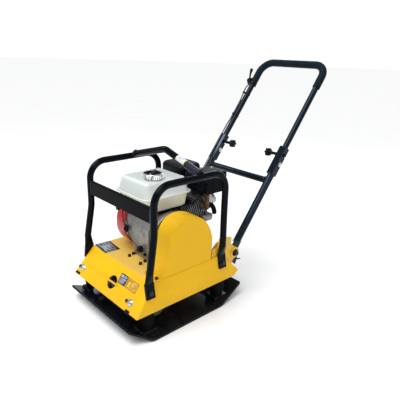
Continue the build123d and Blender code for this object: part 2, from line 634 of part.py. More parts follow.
with BuildPart() as exhaust_pipe:
    q = C(206, CYL_Y + 62, 0)
    rod((q[0], q[1], q[2]), (q[0], q[1] + 5, q[2]), 18)
    rod((q[0], q[1] + 4, q[2]), (q[0], q[1] + 13, q[2]), 10)
    ball((q[0], q[1] + 13, q[2]), 10)
    rod((q[0], q[1] + 13, q[2]), (q[0], q[1] + 13, 461.0), 10)
    rod((q[0], q[1] + 13, 456.0), (q[0], q[1] + 13, 461.0), 13)
    rod((q[0], q[1] + 13, q[2]), (q[0], q[1] + 13, 465.0), 8, mode=Mode.SUBTRACT)
save(exhaust_pipe, "exhaust_pipe")

MUF = (-300.0, -140.0, -6.0, 108.0, 461.0, 529.0)
MUF_TOP = 537.0
with BuildPart() as muffler:
    rbox(MUF[0] + 6, MUF[1] - 6, MUF[2] + 6, MUF[3] - 8, MUF[4], MUF[5] - 6, 20)
    ease(muffler.edges().group_by(Axis.Z)[-1], 12)
    ease(muffler.edges().group_by(Axis.Z)[0], 10)
save(muffler, "muffler")

with BuildPart() as muffler_room:
    rbox(MUF[0] + 2, MUF[1] - 2, MUF[2] + 2, MUF[3] - 2, 440, MUF_TOP - 2, 20)
    ease(muffler_room.edges().group_by(Axis.Z)[-1], 7.5)

with BuildPart() as muffler_guard:
    rbox(MUF[0], MUF[1], MUF[2], MUF[3], 452, MUF_TOP, 22)
    ease(muffler_guard.edges().group_by(Axis.Z)[-1], 9)
    add(muffler_room.part, mode=Mode.SUBTRACT)
    blk(MUF[1] - 30, MUF[1] + 5, MUF[2] - 5, MUF[3] + 5, 430, 505, mode=Mode.SUBTRACT)
    for cx in (-244, -208, -172):
        for k in range(5):
            blk(cx - 11, cx + 11, MUF[3] - 5, MUF[3] + 5, 463 + k * 11, 467 + k * 11, mode=Mode.SUBTRACT)
    for cy in (24, 60):
        for k in range(5):
            blk(MUF[0] - 5, MUF[0] + 5, cy - 10, cy + 10, 463 + k * 11, 467 + k * 11, mode=Mode.SUBTRACT)
    for k in range(7):
        blk(-268 + k * 18, -262 + k * 18, 66, 92, MUF_TOP - 7, MUF_TOP + 3, mode=Mode.SUBTRACT)
save(muffler_guard, "muffler_guard")

with BuildPart() as engine_bolts:
    for x, y in ENG_FEET:
        rod((x, y, 206), (x, y, DECK_TOP + 13), 4.0)
        hexa((x, y, DECK_TOP + 13), (0, 0, 1), 13, 7)
    for k in range(7):
        t = math.radians(360 / 7 * k + 12)
        hexa((74 * math.cos(t), 88, CRANK_Z + 74 * math.sin(t)), (0, 1, 0), 10, 6)
    for x, y in ((-226, 12), (-268, 34)):
        rod((x, y, MUF_TOP), (x, y, MUF_TOP + 2), 7)
        hexa((x, y, MUF_TOP + 2), (0, 0, 1), 9, 4)
    for sy in (-1, 1):
        for n in (-34, 34):
            p = C(238, CYL_Y + sy * 44, n)
            q = C(243, CYL_Y + sy * 44, n)
            hexa(p, CD, 9, 6)
save(engine_bolts, "engine_bolts")

with BuildPart() as carburetor:
    p = C(206, CYL_Y - 62, 4)
    rod((p[0], p[1], p[2]), (p[0], p[1] - 44, p[2]), 17)
    rbox(p[0] - 24, p[0] + 24, p[1] - 44, p[1] - 8, p[2] - 18, p[2] + 26, 5)
    rod((p[0], p[1] - 26, p[2] - 46), (p[0], p[1] - 26, p[2] - 12), 18)
    rod((p[0], p[1] - 26, p[2] + 20), (p[0], p[1] - 26, 440), 14)
save(carburetor, "carburetor")
CARB = C(206, CYL_Y - 62, 4)

AC = (-280.0, -152.0, -180.0, -34.0)
with BuildPart() as air_cleaner_base:
    rbox(AC[0] + 6, AC[1] - 6, AC[2] + 6, AC[3] - 6, 440, 478, 22)
    ease(air_cleaner_base.edges().group_by(Axis.Z)[0], 10)
    rbox(AC[0] + 11, AC[1] - 11, AC[2] + 11, AC[3] - 11, 446, 490, 18, mode=Mode.SUBTRACT)
    rod((CARB[0], CARB[1] - 26, 430), (CARB[0], CARB[1] - 26, 450), 11, mode=Mode.SUBTRACT)
save(air_cleaner_base, "air_cleaner_base")

with BuildPart() as air_cleaner_cover:
    rbox(AC[0], AC[1], AC[2], AC[3], 478, 548, 30)
    ease(air_cleaner_cover.edges().group_by(Axis.Z)[-1], 20)
    rod((-214, -107, 548), (-214, -107, 551), 24)
    rbox(AC[0] + 4, AC[1] - 4, AC[2] + 4, AC[3] - 4, 470, 526, 26, mode=Mode.SUBTRACT)
    rod((-214, -107, 551), (-214, -107, 560), 6)
    blk(-228, -200, -110, -104, 553, 561)
save(air_cleaner_cover, "air_cleaner_cover")

TX0, TX1, TY0, TY1 = -136.0, 110.0, -158.0, 68.0
TZ = 470.0


def tank_face(z, inset, r):
    with BuildSketch(Plane.XY.offset(z)) as f:
        with Locations(((TX0 + TX1) / 2, (TY0 + TY1) / 2)):
            RectangleRounded(TX1 - TX0 - 2 * inset, TY1 - TY0 - 2 * inset, r)
    return f.sketch


CAP_X, CAP_Y = 20.0, -2.0
with BuildPart() as room_up:
    extrude(tank_face(TZ - 0.5, 10, 31), amount=59.5, taper=15)
    ease(room_up.edges().group_by(Axis.Z)[-1], 15)

with BuildPart() as tank_upper:
    extrude(tank_face(TZ + 2, 7, 34), amount=60, taper=15)
    ease(tank_upper.edges().group_by(Axis.Z)[-1], 18)
    extrude(tank_face(TZ, 0, 32), amount=2.5)
    ease(tank_upper.edges().filter_by(lambda e: abs(e.center().Z - TZ - 2.5) < 0.3), 0.8)
    add(room_up.part, mode=Mode.SUBTRACT)
    rod((CAP_X, CAP_Y, 526), (CAP_X, CAP_Y, 545), 29)
    rod((CAP_X, CAP_Y, 515), (CAP_X, CAP_Y, 546), 26.5, mode=Mode.SUBTRACT)
save(tank_upper, "tank_upper")

STEP_Y = -37.0
with BuildPart() as room_low:
    extrude(tank_face(TZ + 0.5, 12, 31), amount=-61.5, taper=9)
    ease(room_low.edges().group_by(Axis.Z)[0], 11)
    blk(-200, 200, -200, STEP_Y + 3, 380, 430, mode=Mode.SUBTRACT)

with BuildPart() as tank_lower:
    extrude(tank_face(TZ - 2, 9, 34), amount=-62, taper=9)
    ease(tank_lower.edges().group_by(Axis.Z)[0], 14)
    blk(-200, 200, -200, STEP_Y, 380, 427, mode=Mode.SUBTRACT)
    extrude(tank_face(TZ, 0, 32), amount=-2.5)
    add(room_low.part, mode=Mode.SUBTRACT)
save(tank_lower, "tank_lower")

with BuildPart() as tank_bracket:
    blk(-74, 92, 20, 50, 402, 405.8)
    blk(-74, 92, -36, -14, 402, 405.8)
    blk(-60, -40, -36, 50, 400.2, 405.8)
    blk(30, 50, -36, 50, 396, 405.8)
    slab_y([(CASE_REAR, 222), (88, 222), (97, 262), (97, 345), (68, 392), (-30, 400),
            (CASE_REAR, 392)], -60, 70, mode=Mode.SUBTRACT)
save(tank_bracket, "tank_bracket")

with BuildPart() as fuel_cap:
    rod((CAP_X, CAP_Y, 537), (CAP_X, CAP_Y, 557), 40)
    ease(fuel_cap.edges().group_by(Axis.Z)[-1], 3)
    rod((CAP_X, CAP_Y, 530), (CAP_X, CAP_Y, 549), 29.35, mode=Mode.SUBTRACT)
    rod((CAP_X, CAP_Y, 552), (CAP_X, CAP_Y, 560), 32, mode=Mode.SUBTRACT)
    with BuildSketch(Plane.XY.offset(549)) as sk:
        with Locations((CAP_X, CAP_Y)):
            SlotOverall(66, 15, rotation=35)
    extrude(sk.sketch, amount=12)
    ease(fuel_cap.edges().group_by(Axis.Z)[-1], 2)
    with BuildSketch(Plane.XY.offset(536)) as sk2:
        with Locations((CAP_X, CAP_Y)):
            with PolarLocations(41.2, 28):
                Circle(2.4)
    extrude(sk2.sketch, amount=12, mode=Mode.SUBTRACT)
save(fuel_cap, "fuel_cap")

SW = (102.0, -70.0, 300.0)
with BuildPart() as switch_box:
    rbox(101.2, 113, -80, -60, 307, 333, 4)
    ease(switch_box.edges().group_by(Axis.X)[-1], 2)
    rod((108, -70, 320), (116, -70, 320), 6.2, mode=Mode.SUBTRACT)
save(switch_box, "switch_box")

with BuildPart() as engine_switch:
    rod((108.3, -70, 320), (115, -70, 320), 6.0)
    blk(115, 119, -72, -68, 313.5, 326.5)
save(engine_switch, "engine_switch")

LEV_Y = CARB[1] - 44
with BuildPart() as choke_lever:
    rod((CARB[0] + 10, LEV_Y - 8, CARB[2] + 16), (CARB[0] + 10, LEV_Y - 0.3, CARB[2] + 16), 5)
    slab_y([(CARB[0] + 10, CARB[2] + 12), (CARB[0] + 10, CARB[2] + 20), (CARB[0] - 36, CARB[2] + 18),
            (CARB[0] - 36, CARB[2] + 14)], LEV_Y - 8, LEV_Y - 4)
    blk(CARB[0] - 42, CARB[0] - 32, LEV_Y - 14, LEV_Y - 4, CARB[2] + 11, CARB[2] + 21)
save(choke_lever, "choke_lever")

with BuildPart() as fuel_valve_lever:
    rod((CARB[0] + 10, LEV_Y - 8, CARB[2] - 8), (CARB[0] + 10, LEV_Y - 0.3, CARB[2] - 8), 5)
    slab_y([(CARB[0] + 10, CARB[2] - 12), (CARB[0] + 10, CARB[2] - 4), (CARB[0] - 30, CARB[2] - 6),
            (CARB[0] - 30, CARB[2] - 10)], LEV_Y - 8, LEV_Y - 4)
    blk(CARB[0] - 36, CARB[0] - 26, LEV_Y - 12, LEV_Y - 4, CARB[2] - 13, CARB[2] - 3)
save(fuel_valve_lever, "fuel_valve_lever")

with BuildPart() as oil_plugs:
    d = Vector(26, 0, 10).normalized()
    p = Vector(106, 30, 262)
    rod(p, p + d * 8, 14)
    rod(p + d * 8, p + d * 16, 9)
    hexa((93.3, 40, 238), (1, 0, 0), 12, 6)
save(oil_plugs, "oil_plugs")

# ------------------------------------------------------------------
# CAGE
# ------------------------------------------------------------------
def hoop(sy):
    pf, pr = LEG_FEET
    zc = 262.0
    top_f = (203.0, sy * 218.8, zc)
    top_r = (-167.5, sy * 218.4, zc)
    pipe([top_f, (HOOP_XF, sy * HOOP_Y, 400), (HOOP_XF, sy * HOOP_Y, HOOP_Z),
          (HOOP_XR, sy * HOOP_Y, HOOP_Z), (HOOP_XR, sy * HOOP_Y, 400), top_r],
         [150, 70, 70, 150], CAGE_R, CAGE_R - CAGE_WALL)
    for (fx, fz), top, tip in ((pf, top_f, (HOOP_XF, sy * HOOP_Y, 400)),
                               (pr, top_r, (HOOP_XR, sy * HOOP_Y, 400))):
        up = Vector(0, -sy * math.sin(SIDE_A), math.cos(SIDE_A))
        nn = Vector(0, sy * math.cos(SIDE_A), math.sin(SIDE_A))
        flat_c = Vector(*on_side(fx, 222, 4.1, sy))
        tdir = (Vector(*tip) - Vector(*top)).normalized()
        with BuildSketch(Plane(origin=flat_c, x_dir=(1, 0, 0), z_dir=up)) as e0:
            Ellipse(20, 4)
        with BuildSketch(Plane(origin=Vector(*top) + tdir * 5, x_dir=(1, 0, 0), z_dir=tdir)) as e1:
            Ellipse(CAGE_R + 0.35, CAGE_R + 0.3)
        loft([e0.sketch, e1.sketch])
        c = Vector(*on_side(fx, 195, 4.1, sy))
        with BuildSketch(Plane(origin=c - nn * 4.0, x_dir=(1, 0, 0), z_dir=nn)) as e2:
            RectangleRounded(39, 62, 3)
        extrude(e2.sketch, amount=8)
        q = Vector(*on_side(fx, 186, 0, sy))
        rod(q - nn * 2, q + nn * 12, 5.2, mode=Mode.SUBTRACT)


with BuildPart() as cage_hoop_left:
    hoop(1)
save(cage_hoop_left, "cage_hoop_left")

with BuildPart() as cage_hoop_right:
    hoop(-1)
save(cage_hoop_right, "cage_hoop_right")

with BuildPart() as cage_front_bar:
    slab_y([(HOOP_XF + 5, 446), (HOOP_XF + 5, 502), (HOOP_XF - 9, 502), (HOOP_XF - 9, 498.5),
            (HOOP_XF + 1.5, 498.5), (HOOP_XF + 1.5, 446)], -HOOP_Y, HOOP_Y)
    ease(cage_front_bar.edges().filter_by(Axis.Y).filter_by(
        lambda e: e.center().Z > 501 and e.center().X > HOOP_XF + 3), 3)
    for sy in (1, -1):
        rod((HOOP_XF, sy * HOOP_Y, 430), (HOOP_XF, sy * HOOP_Y, 520), CAGE_R + 0.02, mode=Mode.SUBTRACT)
        ya, yb = sorted((sy * HOOP_Y, sy * (HOOP_Y + 30)))
        blk(HOOP_XF - 20, HOOP_XF + 20, ya, yb, 430, 520, mode=Mode.SUBTRACT)
save(cage_front_bar, "cage_front_bar")

with BuildPart() as lifting_arch:
    pipe([(ARCH_X, HOOP_Y, HOOP_Z + 6), (ARCH_X, 0, ARCH_Z), (ARCH_X, -HOOP_Y, HOOP_Z + 6)],
         [60], ARCH_R, ARCH_R - CAGE_WALL)
    for sy in (1, -1):
        rod((ARCH_X - 60, sy * HOOP_Y, HOOP_Z), (ARCH_X + 60, sy * HOOP_Y, HOOP_Z),
            CAGE_R + 0.02, mode=Mode.SUBTRACT)
        ya, yb = sorted((sy * HOOP_Y, sy * (HOOP_Y + 60)))
        blk(ARCH_X - 60, ARCH_X + 60, ya, yb, HOOP_Z - 60, HOOP_Z + 60, mode=Mode.SUBTRACT)
        ya, yb = sorted((sy * (HOOP_Y - 40), sy * (HOOP_Y + 60)))
        blk(ARCH_X - 60, ARCH_X + 60, ya, yb, HOOP_Z - 60, HOOP_Z, mode=Mode.SUBTRACT)
save(lifting_arch, "lifting_arch")

with BuildPart() as cage_bolts:
    for sy in (1, -1):
        for fx, fz in LEG_FEET:
            nn = Vector(0, sy * math.cos(SIDE_A), math.sin(SIDE_A))
            q = Vector(*on_side(fx, 186, 8.1, sy))
            rod(q - nn * 8.1, q, 5.0)
            rod(q, q + nn * 2, 10)
            hexa(q + nn * 2, nn, 15, 6)
save(cage_bolts, "cage_bolts")

# ------------------------------------------------------------------
# HANDLE BRACKETS AND PIVOT
# ------------------------------------------------------------------
BR_Y0, BR_Y1 = 193.0, 201.0
with BuildPart() as handle_brackets:
    for sy in (1, -1):
        y0, y1 = sorted((sy * BR_Y0, sy * BR_Y1))
        slab_y([(-126, DECK_TOP), (-127, 250), (-160, 251), (-172, 288), (-180, 291), (-238, 277),
                (-238, 238), (-256, 232), (-258, 168), (-246, 152), (-240.5, 151.0),
                (DECK_XR, DECK_TOP)], y0, y1)
        a, b = sorted((sy * BR_Y0, sy * (BR_Y1 + 5)))
        rod((PIV_X, a, PIV_Z), (PIV_X, b, PIV_Z), 24.5)
        rod((PIV_X, a - 1, PIV_Z), (PIV_X, b + 1, PIV_Z), 15.0, mode=Mode.SUBTRACT)
        # gusset between the plate and the deck top
        a, b = sorted((sy * 150.0, sy * BR_Y0))
        slab_y([(-177, DECK_TOP), (-177, 219), (-160, 219), (-160, DECK_TOP)], a, b)
        slab_x([(sy * BR_Y0, DECK_TOP), (sy * BR_Y0, 270), (sy * 185, 270), (sy * 150, DECK_TOP)],
               -172, -166)
save(handle_brackets, "handle_brackets")

with BuildPart() as pivot_bushes:
    for sy in (1, -1):
        a, b = sorted((sy * 190.3, sy * 209.0))
        rod((PIV_X, a, PIV_Z), (PIV_X, b, PIV_Z), 15.0)
        rod((PIV_X, a - 1, PIV_Z), (PIV_X, b + 1, PIV_Z), 8.0, mode=Mode.SUBTRACT)
save(pivot_bushes, "pivot_bushes")

with BuildPart() as pivot_bolts:
    for sy in (1, -1):
        a, b = sorted((sy * 172.0, sy * 210.5))
        rod((PIV_X, a, PIV_Z), (PIV_X, b, PIV_Z), 8.0)
        a, b = sorted((sy * 209.0, sy * 211.5))
        rod((PIV_X, a, PIV_Z), (PIV_X, b, PIV_Z), 12.5)
        hexa((PIV_X, sy * 211.5, PIV_Z), (0, sy, 0), 18, 8)
        hexa((PIV_X, sy * 183.6, PIV_Z), (0, -sy, 0), 20, 10)
save(pivot_bolts, "pivot_bolts")

# ------------------------------------------------------------------
# HANDLE
# ------------------------------------------------------------------
EAR_Y0, EAR_Y1 = 184.0, 190.0
UD = Vector(UX, 0, UZ)
ND = Vector(UZ, 0, -UX)


def hblock(s0, s1, y0, y1, n0, n1, mode=Mode.ADD):
    # box aligned with the handle
    with BuildSketch(Plane(origin=H(s0, (y0 + y1) / 2, (n0 + n1) / 2), x_dir=(0, 1, 0), z_dir=UD)) as sk:
        Rectangle(abs(y1 - y0), abs(n1 - n0))
    extrude(sk.sketch, amount=s1 - s0, mode=mode)


with BuildPart() as handle_lower:
    for sy in (1, -1):
        y = sy * HANDLE_Y
        rod(H(44, y), H(400, y), R_LOW)
        # ear with round end and stop tab
        a, b = sorted((sy * EAR_Y0, sy * EAR_Y1))
        rod((PIV_X, a, PIV_Z), (PIV_X, b, PIV_Z), 31)
        hblock(0, 60, a, b, -26, 15)
        slab_y([(PIV_X - 20, PIV_Z - 10), (-296, 158), (-283, 130), (-268, 143), (-262, 160)], a, b)
        rod((-286, (a + b) / 2, 152), (-318, (a + b) / 2, 146), 2.6)
        # fork: two cheeks and a front web
        for d in (-1, 1):
            c0, c1 = sorted((y + d * 13.8, y + d * 16.8))
            hblock(382, S_FORK, c0, c1, -14, 17.2)
        hblock(382, S_FORK, y - 16.8, y + 16.8, 14.2, 17.2)
    rod(H(S_CROSS, -HANDLE_Y), H(S_CROSS, HANDLE_Y), 15)
    # bores and slots
    for sy in (1, -1):
        y = sy * HANDLE_Y
        rod(H(60, y), H(395, y), R_LOW - 2.5, mode=Mode.SUBTRACT)
        rod((PIV_X, sy * 180, PIV_Z), (PIV_X, sy * 194, PIV_Z), 8.1, mode=Mode.SUBTRACT)
        rod(H(S_FOLD, y - 25), H(S_FOLD, y + 25), 6.0, mode=Mode.SUBTRACT)
        rod(H(S_KNOB, y - 25), H(S_KNOB, y + 25), 5.4, mode=Mode.SUBTRACT)
        with BuildSketch(Plane(origin=H(0, y + 25), x_dir=UD, z_dir=(0, -1, 0))) as sk:
            with BuildLine():
                Polyline((S_KNOB + 5.4, 0), (S_KNOB + 4.0, 18), (S_KNOB - 8.6, 18), (S_KNOB - 5.4, 0), close=True)
            make_face()
        extrude(sk.sketch, amount=50, mode=Mode.SUBTRACT)
    rod(H(S_CROSS, -HANDLE_Y + 12), H(S_CROSS, HANDLE_Y - 12), 12.5, mode=Mode.SUBTRACT)
save(handle_lower, "handle_lower")

with BuildPart() as fold_bolts:
    for sy in (1, -1):
        y = sy * HANDLE_Y
        rod(H(S_FOLD, y - 17), H(S_FOLD, y + 17), 5.95)
        for d in (-1, 1):
            rod(H(S_FOLD, y + d * 16.9), H(S_FOLD, y + d * 19.4), 11)
            taper_rod(H(S_FOLD, y + d * 19.4), H(S_FOLD, y + d * 23.5), 9.5, 6)
save(fold_bolts, "fold_bolts")

LEG = [H(S_FOLD, HANDLE_Y), H(S_TOP, HANDLE_Y), H(S_TOP, -HANDLE_Y), H(S_FOLD, -HANDLE_Y)]
with BuildPart() as handle_upper:
    pipe(LEG, [CORNER_R, CORNER_R], R_UP, R_UP - 2.2)
    for sy in (1, -1):
        y = sy * HANDLE_Y
        rod(H(S_FOLD, y - 13.4), H(S_FOLD, y + 13.4), R_UP)
        rod(H(S_FOLD, y - 20), H(S_FOLD, y + 20), 6.03, mode=Mode.SUBTRACT)
        rod(H(S_KNOB, y - 20), H(S_KNOB, y + 20), 4.3, mode=Mode.SUBTRACT)
save(handle_upper, "handle_upper")

S_GRIP = 845.0
with BuildPart() as handle_grip:
    pipe([H(S_GRIP, HANDLE_Y), H(S_TOP, HANDLE_Y), H(S_TOP, -HANDLE_Y), H(S_GRIP, -HANDLE_Y)],
         [CORNER_R, CORNER_R], R_GRIP, R_UP)
save(handle_grip, "handle_grip")


def knob(sy):
    rod(H(S_KNOB, sy * 118), H(S_KNOB, sy * (HANDLE_Y + 18)), 4.0)
    rod(H(S_KNOB, sy * (HANDLE_Y + 17.2)), H(S_KNOB, sy * (HANDLE_Y + 22)), 8)
    rod(H(S_KNOB, sy * 138), H(S_KNOB, sy * (HANDLE_Y - 17.1)), 7)
    taper_rod(H(S_KNOB, sy * 138), H(S_KNOB, sy * 124), 7, 11)
    rod(H(S_KNOB, sy * 104), H(S_KNOB, sy * 124), 14)
    with BuildSketch(Plane(origin=H(S_KNOB, sy * 104), x_dir=UD, z_dir=(0, sy, 0))) as sk:
        with PolarLocations(14, 6):
            Circle(5.2)
    extrude(sk.sketch, amount=16)
    taper_rod(H(S_KNOB, sy * 104), H(S_KNOB, sy * 100), 12, 8)


with BuildPart() as lock_knob_left:
    knob(1)
save(lock_knob_left, "lock_knob_left")

with BuildPart() as lock_knob_right:
    knob(-1)
save(lock_knob_right, "lock_knob_right")

# throttle control on the right leg, just below the grip
S_THR = 852.0
TY = -221.0
with BuildPart() as throttle_clamp:
    rod(H(828, -HANDLE_Y), H(842, -HANDLE_Y), 18.5)
    hblock(829, 841, -206, -200, -16, 16)
    hblock(829, 858, -218, -203.6, -9, 9)
    rod(H(S_THR, -218), H(S_THR, -206.5), 14)
    rod(H(820, -HANDLE_Y), H(850, -HANDLE_Y), R_UP, mode=Mode.SUBTRACT)
    rod(H(838, -HANDLE_Y), H(846, -HANDLE_Y), 14.0, mode=Mode.SUBTRACT)
    rod(H(842.2, -HANDLE_Y), H(880, -HANDLE_Y), R_GRIP + 0.3, mode=Mode.SUBTRACT)
    rod(H(S_THR, -235), H(S_THR, -200), 4.05, mode=Mode.SUBTRACT)
    hexa(H(835, -HANDLE_Y, -18), tuple(-ND), 9, 6)
    rod(H(835, -HANDLE_Y, -24.5), H(835, -HANDLE_Y, -17), 3)
save(throttle_clamp, "throttle_clamp")

with BuildPart() as throttle_lever:
    rod(H(S_THR, -232), H(S_THR, -206), 4.0)
    rod(H(S_THR, -228), H(S_THR, -218.3), 12.5)
    rod(H(S_THR + 4, -223), H(S_THR + 44, -240), 4.5)
    taper_rod(H(S_THR + 40, -238.5), H(S_THR + 66, -246), 5.0, 8.0)
    ball(H(S_THR + 66, -246), 8.0)
save(throttle_lever, "throttle_lever")

# ------------------------------------------------------------------
# THROTTLE CABLE, held by the handle all along
# ------------------------------------------------------------------
S_TIE = 770.0
CY = -192.0
with BuildPart() as cable_upper:
    pth = pipe([H(827.0, -212, 0), H(806, -214, 6), H(776, -203, 14), H(730, CY - 2, 17.5), H(660, CY, 17.6),
                H(610, CY, 17.4), H(578, CY, 21.5), H(545, CY, 21.5)], [24, 40, 80, 300, 100, 100], CABLE_R)
    print("cable_upper length", pth)
save(cable_upper, "cable_upper")

with BuildPart() as cable_fold:
    pth = pipe([H(545, CY, 21.5), H(330, CY, 21.5)], [], CABLE_R)
    print("cable_fold length", pth)
save(cable_fold, "cable_fold")

K0 = Vector(*H(330, CY, 21.5))
K_END = Vector(CARB[0] + 2, LEV_Y + 8, CARB[2] + 34.5)
KPTS = [K0, K0 - UD * 38, Vector(-370, -184, 418), Vector(-306, -160, 414), Vector(-262, -100, 429),
        Vector(CARB[0] - 26.5, CARB[1] - 26, CARB[2] + 20)]
with BuildPart() as cable_engine:
    pth = pipe(KPTS, [40, 60, 60, 40], CABLE_R)
    print("cable_engine length", pth)
save(cable_engine, "cable_engine")

with BuildPart() as cable_ties:
    for s, n, yy in ((770.0, 14.9, -201.0), (640.0, 17.5, CY)):
        rod(H(s - 3, -HANDLE_Y), H(s + 3, -HANDLE_Y), 15.0)
        rod(H(s - 3, yy, n), H(s + 3, yy, n), 6.4)
        hblock(s - 3, s + 3, yy - 3, yy + 3, n - 2, n + 6)
        rod(H(s - 6, -HANDLE_Y), H(s + 6, -HANDLE_Y), R_UP, mode=Mode.SUBTRACT)
        rod(H(s - 6, yy, n), H(s + 6, yy, n), 4.9, mode=Mode.SUBTRACT)
save(cable_ties, "cable_ties")
print("done")
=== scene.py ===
import bpy
import bmesh
import math
from mathutils import Vector, Matrix, noise


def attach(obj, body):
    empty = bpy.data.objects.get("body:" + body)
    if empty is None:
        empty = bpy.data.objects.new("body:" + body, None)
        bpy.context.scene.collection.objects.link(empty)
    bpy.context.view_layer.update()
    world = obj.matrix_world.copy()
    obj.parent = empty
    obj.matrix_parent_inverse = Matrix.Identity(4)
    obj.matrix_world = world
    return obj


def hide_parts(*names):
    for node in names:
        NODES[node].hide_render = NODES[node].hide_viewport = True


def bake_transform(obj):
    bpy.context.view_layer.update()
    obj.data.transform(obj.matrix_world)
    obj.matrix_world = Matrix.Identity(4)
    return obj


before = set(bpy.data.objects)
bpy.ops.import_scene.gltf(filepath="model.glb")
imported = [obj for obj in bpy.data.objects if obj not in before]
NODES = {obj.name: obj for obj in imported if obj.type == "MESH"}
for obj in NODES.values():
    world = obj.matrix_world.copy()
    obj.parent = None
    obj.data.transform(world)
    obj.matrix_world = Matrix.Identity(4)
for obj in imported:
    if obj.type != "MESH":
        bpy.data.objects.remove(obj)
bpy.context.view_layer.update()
scene = bpy.context.scene
scene.view_settings.view_transform = "Standard"

# ------------------------------------------------------------------
# directions shared with the CAD part (millimetres, turned to metres)
# ------------------------------------------------------------------
UX, UZ = -0.60743, 0.79437
PX, PZ = -260.0, 200.0
DTOP, DBOT, XF, XFL = 214.5, 107.4, 186.3, 269.1
SL = math.hypot(XFL - XF, DBOT - DTOP)
SDIR = Vector(((XFL - XF) / SL, 0, (DBOT - DTOP) / SL))
FN = Vector((-SDIR.z, 0, SDIR.x))
SIDE_A = math.atan2(229.6 - 209.8, DTOP - DBOT)


def mm(x, y, z):
    return Vector((x, y, z)) / 1000


def H(s, y=0.0, n=0.0):
    return mm(PX + UX * s + UZ * n, y, PZ + UZ * s - UX * n)


def on_front(y, z, out=0.0):
    x = XF + (DTOP - z) * (XFL - XF) / (DTOP - DBOT)
    return mm(x + FN.x * out, y, z + FN.z * out)


def on_side(x, z, out=0.0, sy=1):
    y = 209.8 + (DTOP - z) * math.tan(SIDE_A)
    return mm(x, sy * (y + math.cos(SIDE_A) * out), z + math.sin(SIDE_A) * out)


# ------------------------------------------------------------------
# material builder
# ------------------------------------------------------------------
class Net:
    def __init__(self, name):
        self.m = bpy.data.materials.new(name)
        self.m.use_nodes = True
        self.t = self.m.node_tree
        self.t.nodes.clear()
        self.out = self.t.nodes.new("ShaderNodeOutputMaterial")
        self.b = self.t.nodes.new("ShaderNodeBsdfPrincipled")
        self.t.links.new(self.b.outputs[0], self.out.inputs[0])
        self.co = self.t.nodes.new("ShaderNodeTexCoord").outputs["Object"]

    def put(self, sock, v):
        if hasattr(v, "node"):
            self.t.links.new(v, sock)
        elif isinstance(v, (tuple, list)) and len(v) == 3 and sock.type == "RGBA":
            sock.default_value = (*v, 1)
        else:
            sock.default_value = v

    def noise(self, scale, detail=4.0, rough=0.55, co=None, dist=0.0):
        n = self.t.nodes.new("ShaderNodeTexNoise")
        self.put(n.inputs["Vector"], co or self.co)
        n.inputs["Scale"].default_value = scale
        n.inputs["Detail"].default_value = detail
        n.inputs["Roughness"].default_value = rough
        n.inputs["Distortion"].default_value = dist
        return n.outputs[0]

    def voro(self, scale, co=None, feature="F1"):
        n = self.t.nodes.new("ShaderNodeTexVoronoi")
        n.feature = feature
        self.put(n.inputs["Vector"], co or self.co)
        n.inputs["Scale"].default_value = scale
        return n.outputs["Distance"]

    def stretch(self, sx, sy, sz, rot=(0, 0, 0)):
        n = self.t.nodes.new("ShaderNodeMapping")
        self.put(n.inputs["Vector"], self.co)
        n.inputs["Scale"].default_value = (sx, sy, sz)
        n.inputs["Rotation"].default_value = rot
        return n.outputs[0]

    def math(self, op, a, b=0.0, c=None, clamp=False):
        n = self.t.nodes.new("ShaderNodeMath")
        n.operation = op
        n.use_clamp = clamp
        self.put(n.inputs[0], a)
        self.put(n.inputs[1], b)
        if c is not None:
            self.put(n.inputs[2], c)
        return n.outputs[0]

    def span(self, v, a, b, c=0.0, d=1.0, smooth=False):
        n = self.t.nodes.new("ShaderNodeMapRange")
        if smooth:
            n.interpolation_type = "SMOOTHSTEP"
        self.put(n.inputs[0], v)
        for i, x in enumerate((a, b, c, d)):
            n.inputs[i + 1].default_value = x
        return n.outputs[0]

    def mix(self, f, a, b, mode="MIX"):
        n = self.t.nodes.new("ShaderNodeMix")
        n.data_type = "RGBA"
        n.blend_type = mode
        self.put(n.inputs["Factor"], f)
        ins = [i for i in n.inputs if i.type == "RGBA"]
        self.put(ins[0], a)
        self.put(ins[1], b)
        return [o for o in n.outputs if o.type == "RGBA"][0]

    def xyz(self):
        n = self.t.nodes.new("ShaderNodeSeparateXYZ")
        self.put(n.inputs[0], self.co)
        return n.outputs

    def edge(self, radius, lo=0.02, hi=0.2):
        bv = self.t.nodes.new("ShaderNodeBevel")
        bv.samples = 4
        bv.inputs["Radius"].default_value = radius
        g = self.t.nodes.new("ShaderNodeNewGeometry")
        d = self.t.nodes.new("ShaderNodeVectorMath")
        d.operation = "DOT_PRODUCT"
        self.put(d.inputs[0], bv.outputs[0])
        self.put(d.inputs[1], g.outputs["Normal"])
        return self.span(self.math("SUBTRACT", 1.0, d.outputs["Value"]), lo, hi)

    def bump(self, height, strength, distance, round_r=0.0, after=None):
        n = self.t.nodes.new("ShaderNodeBump")
        n.inputs["Strength"].default_value = strength
        n.inputs["Distance"].default_value = distance
        self.put(n.inputs["Height"], height)
        if after is not None:
            self.put(n.inputs["Normal"], after)
        elif round_r:
            bv = self.t.nodes.new("ShaderNodeBevel")
            bv.samples = 4
            bv.inputs["Radius"].default_value = round_r
            self.put(n.inputs["Normal"], bv.outputs[0])
        return n.outputs[0]


def sc3(c, k):
    return tuple(min(1.0, x * k) for x in c)


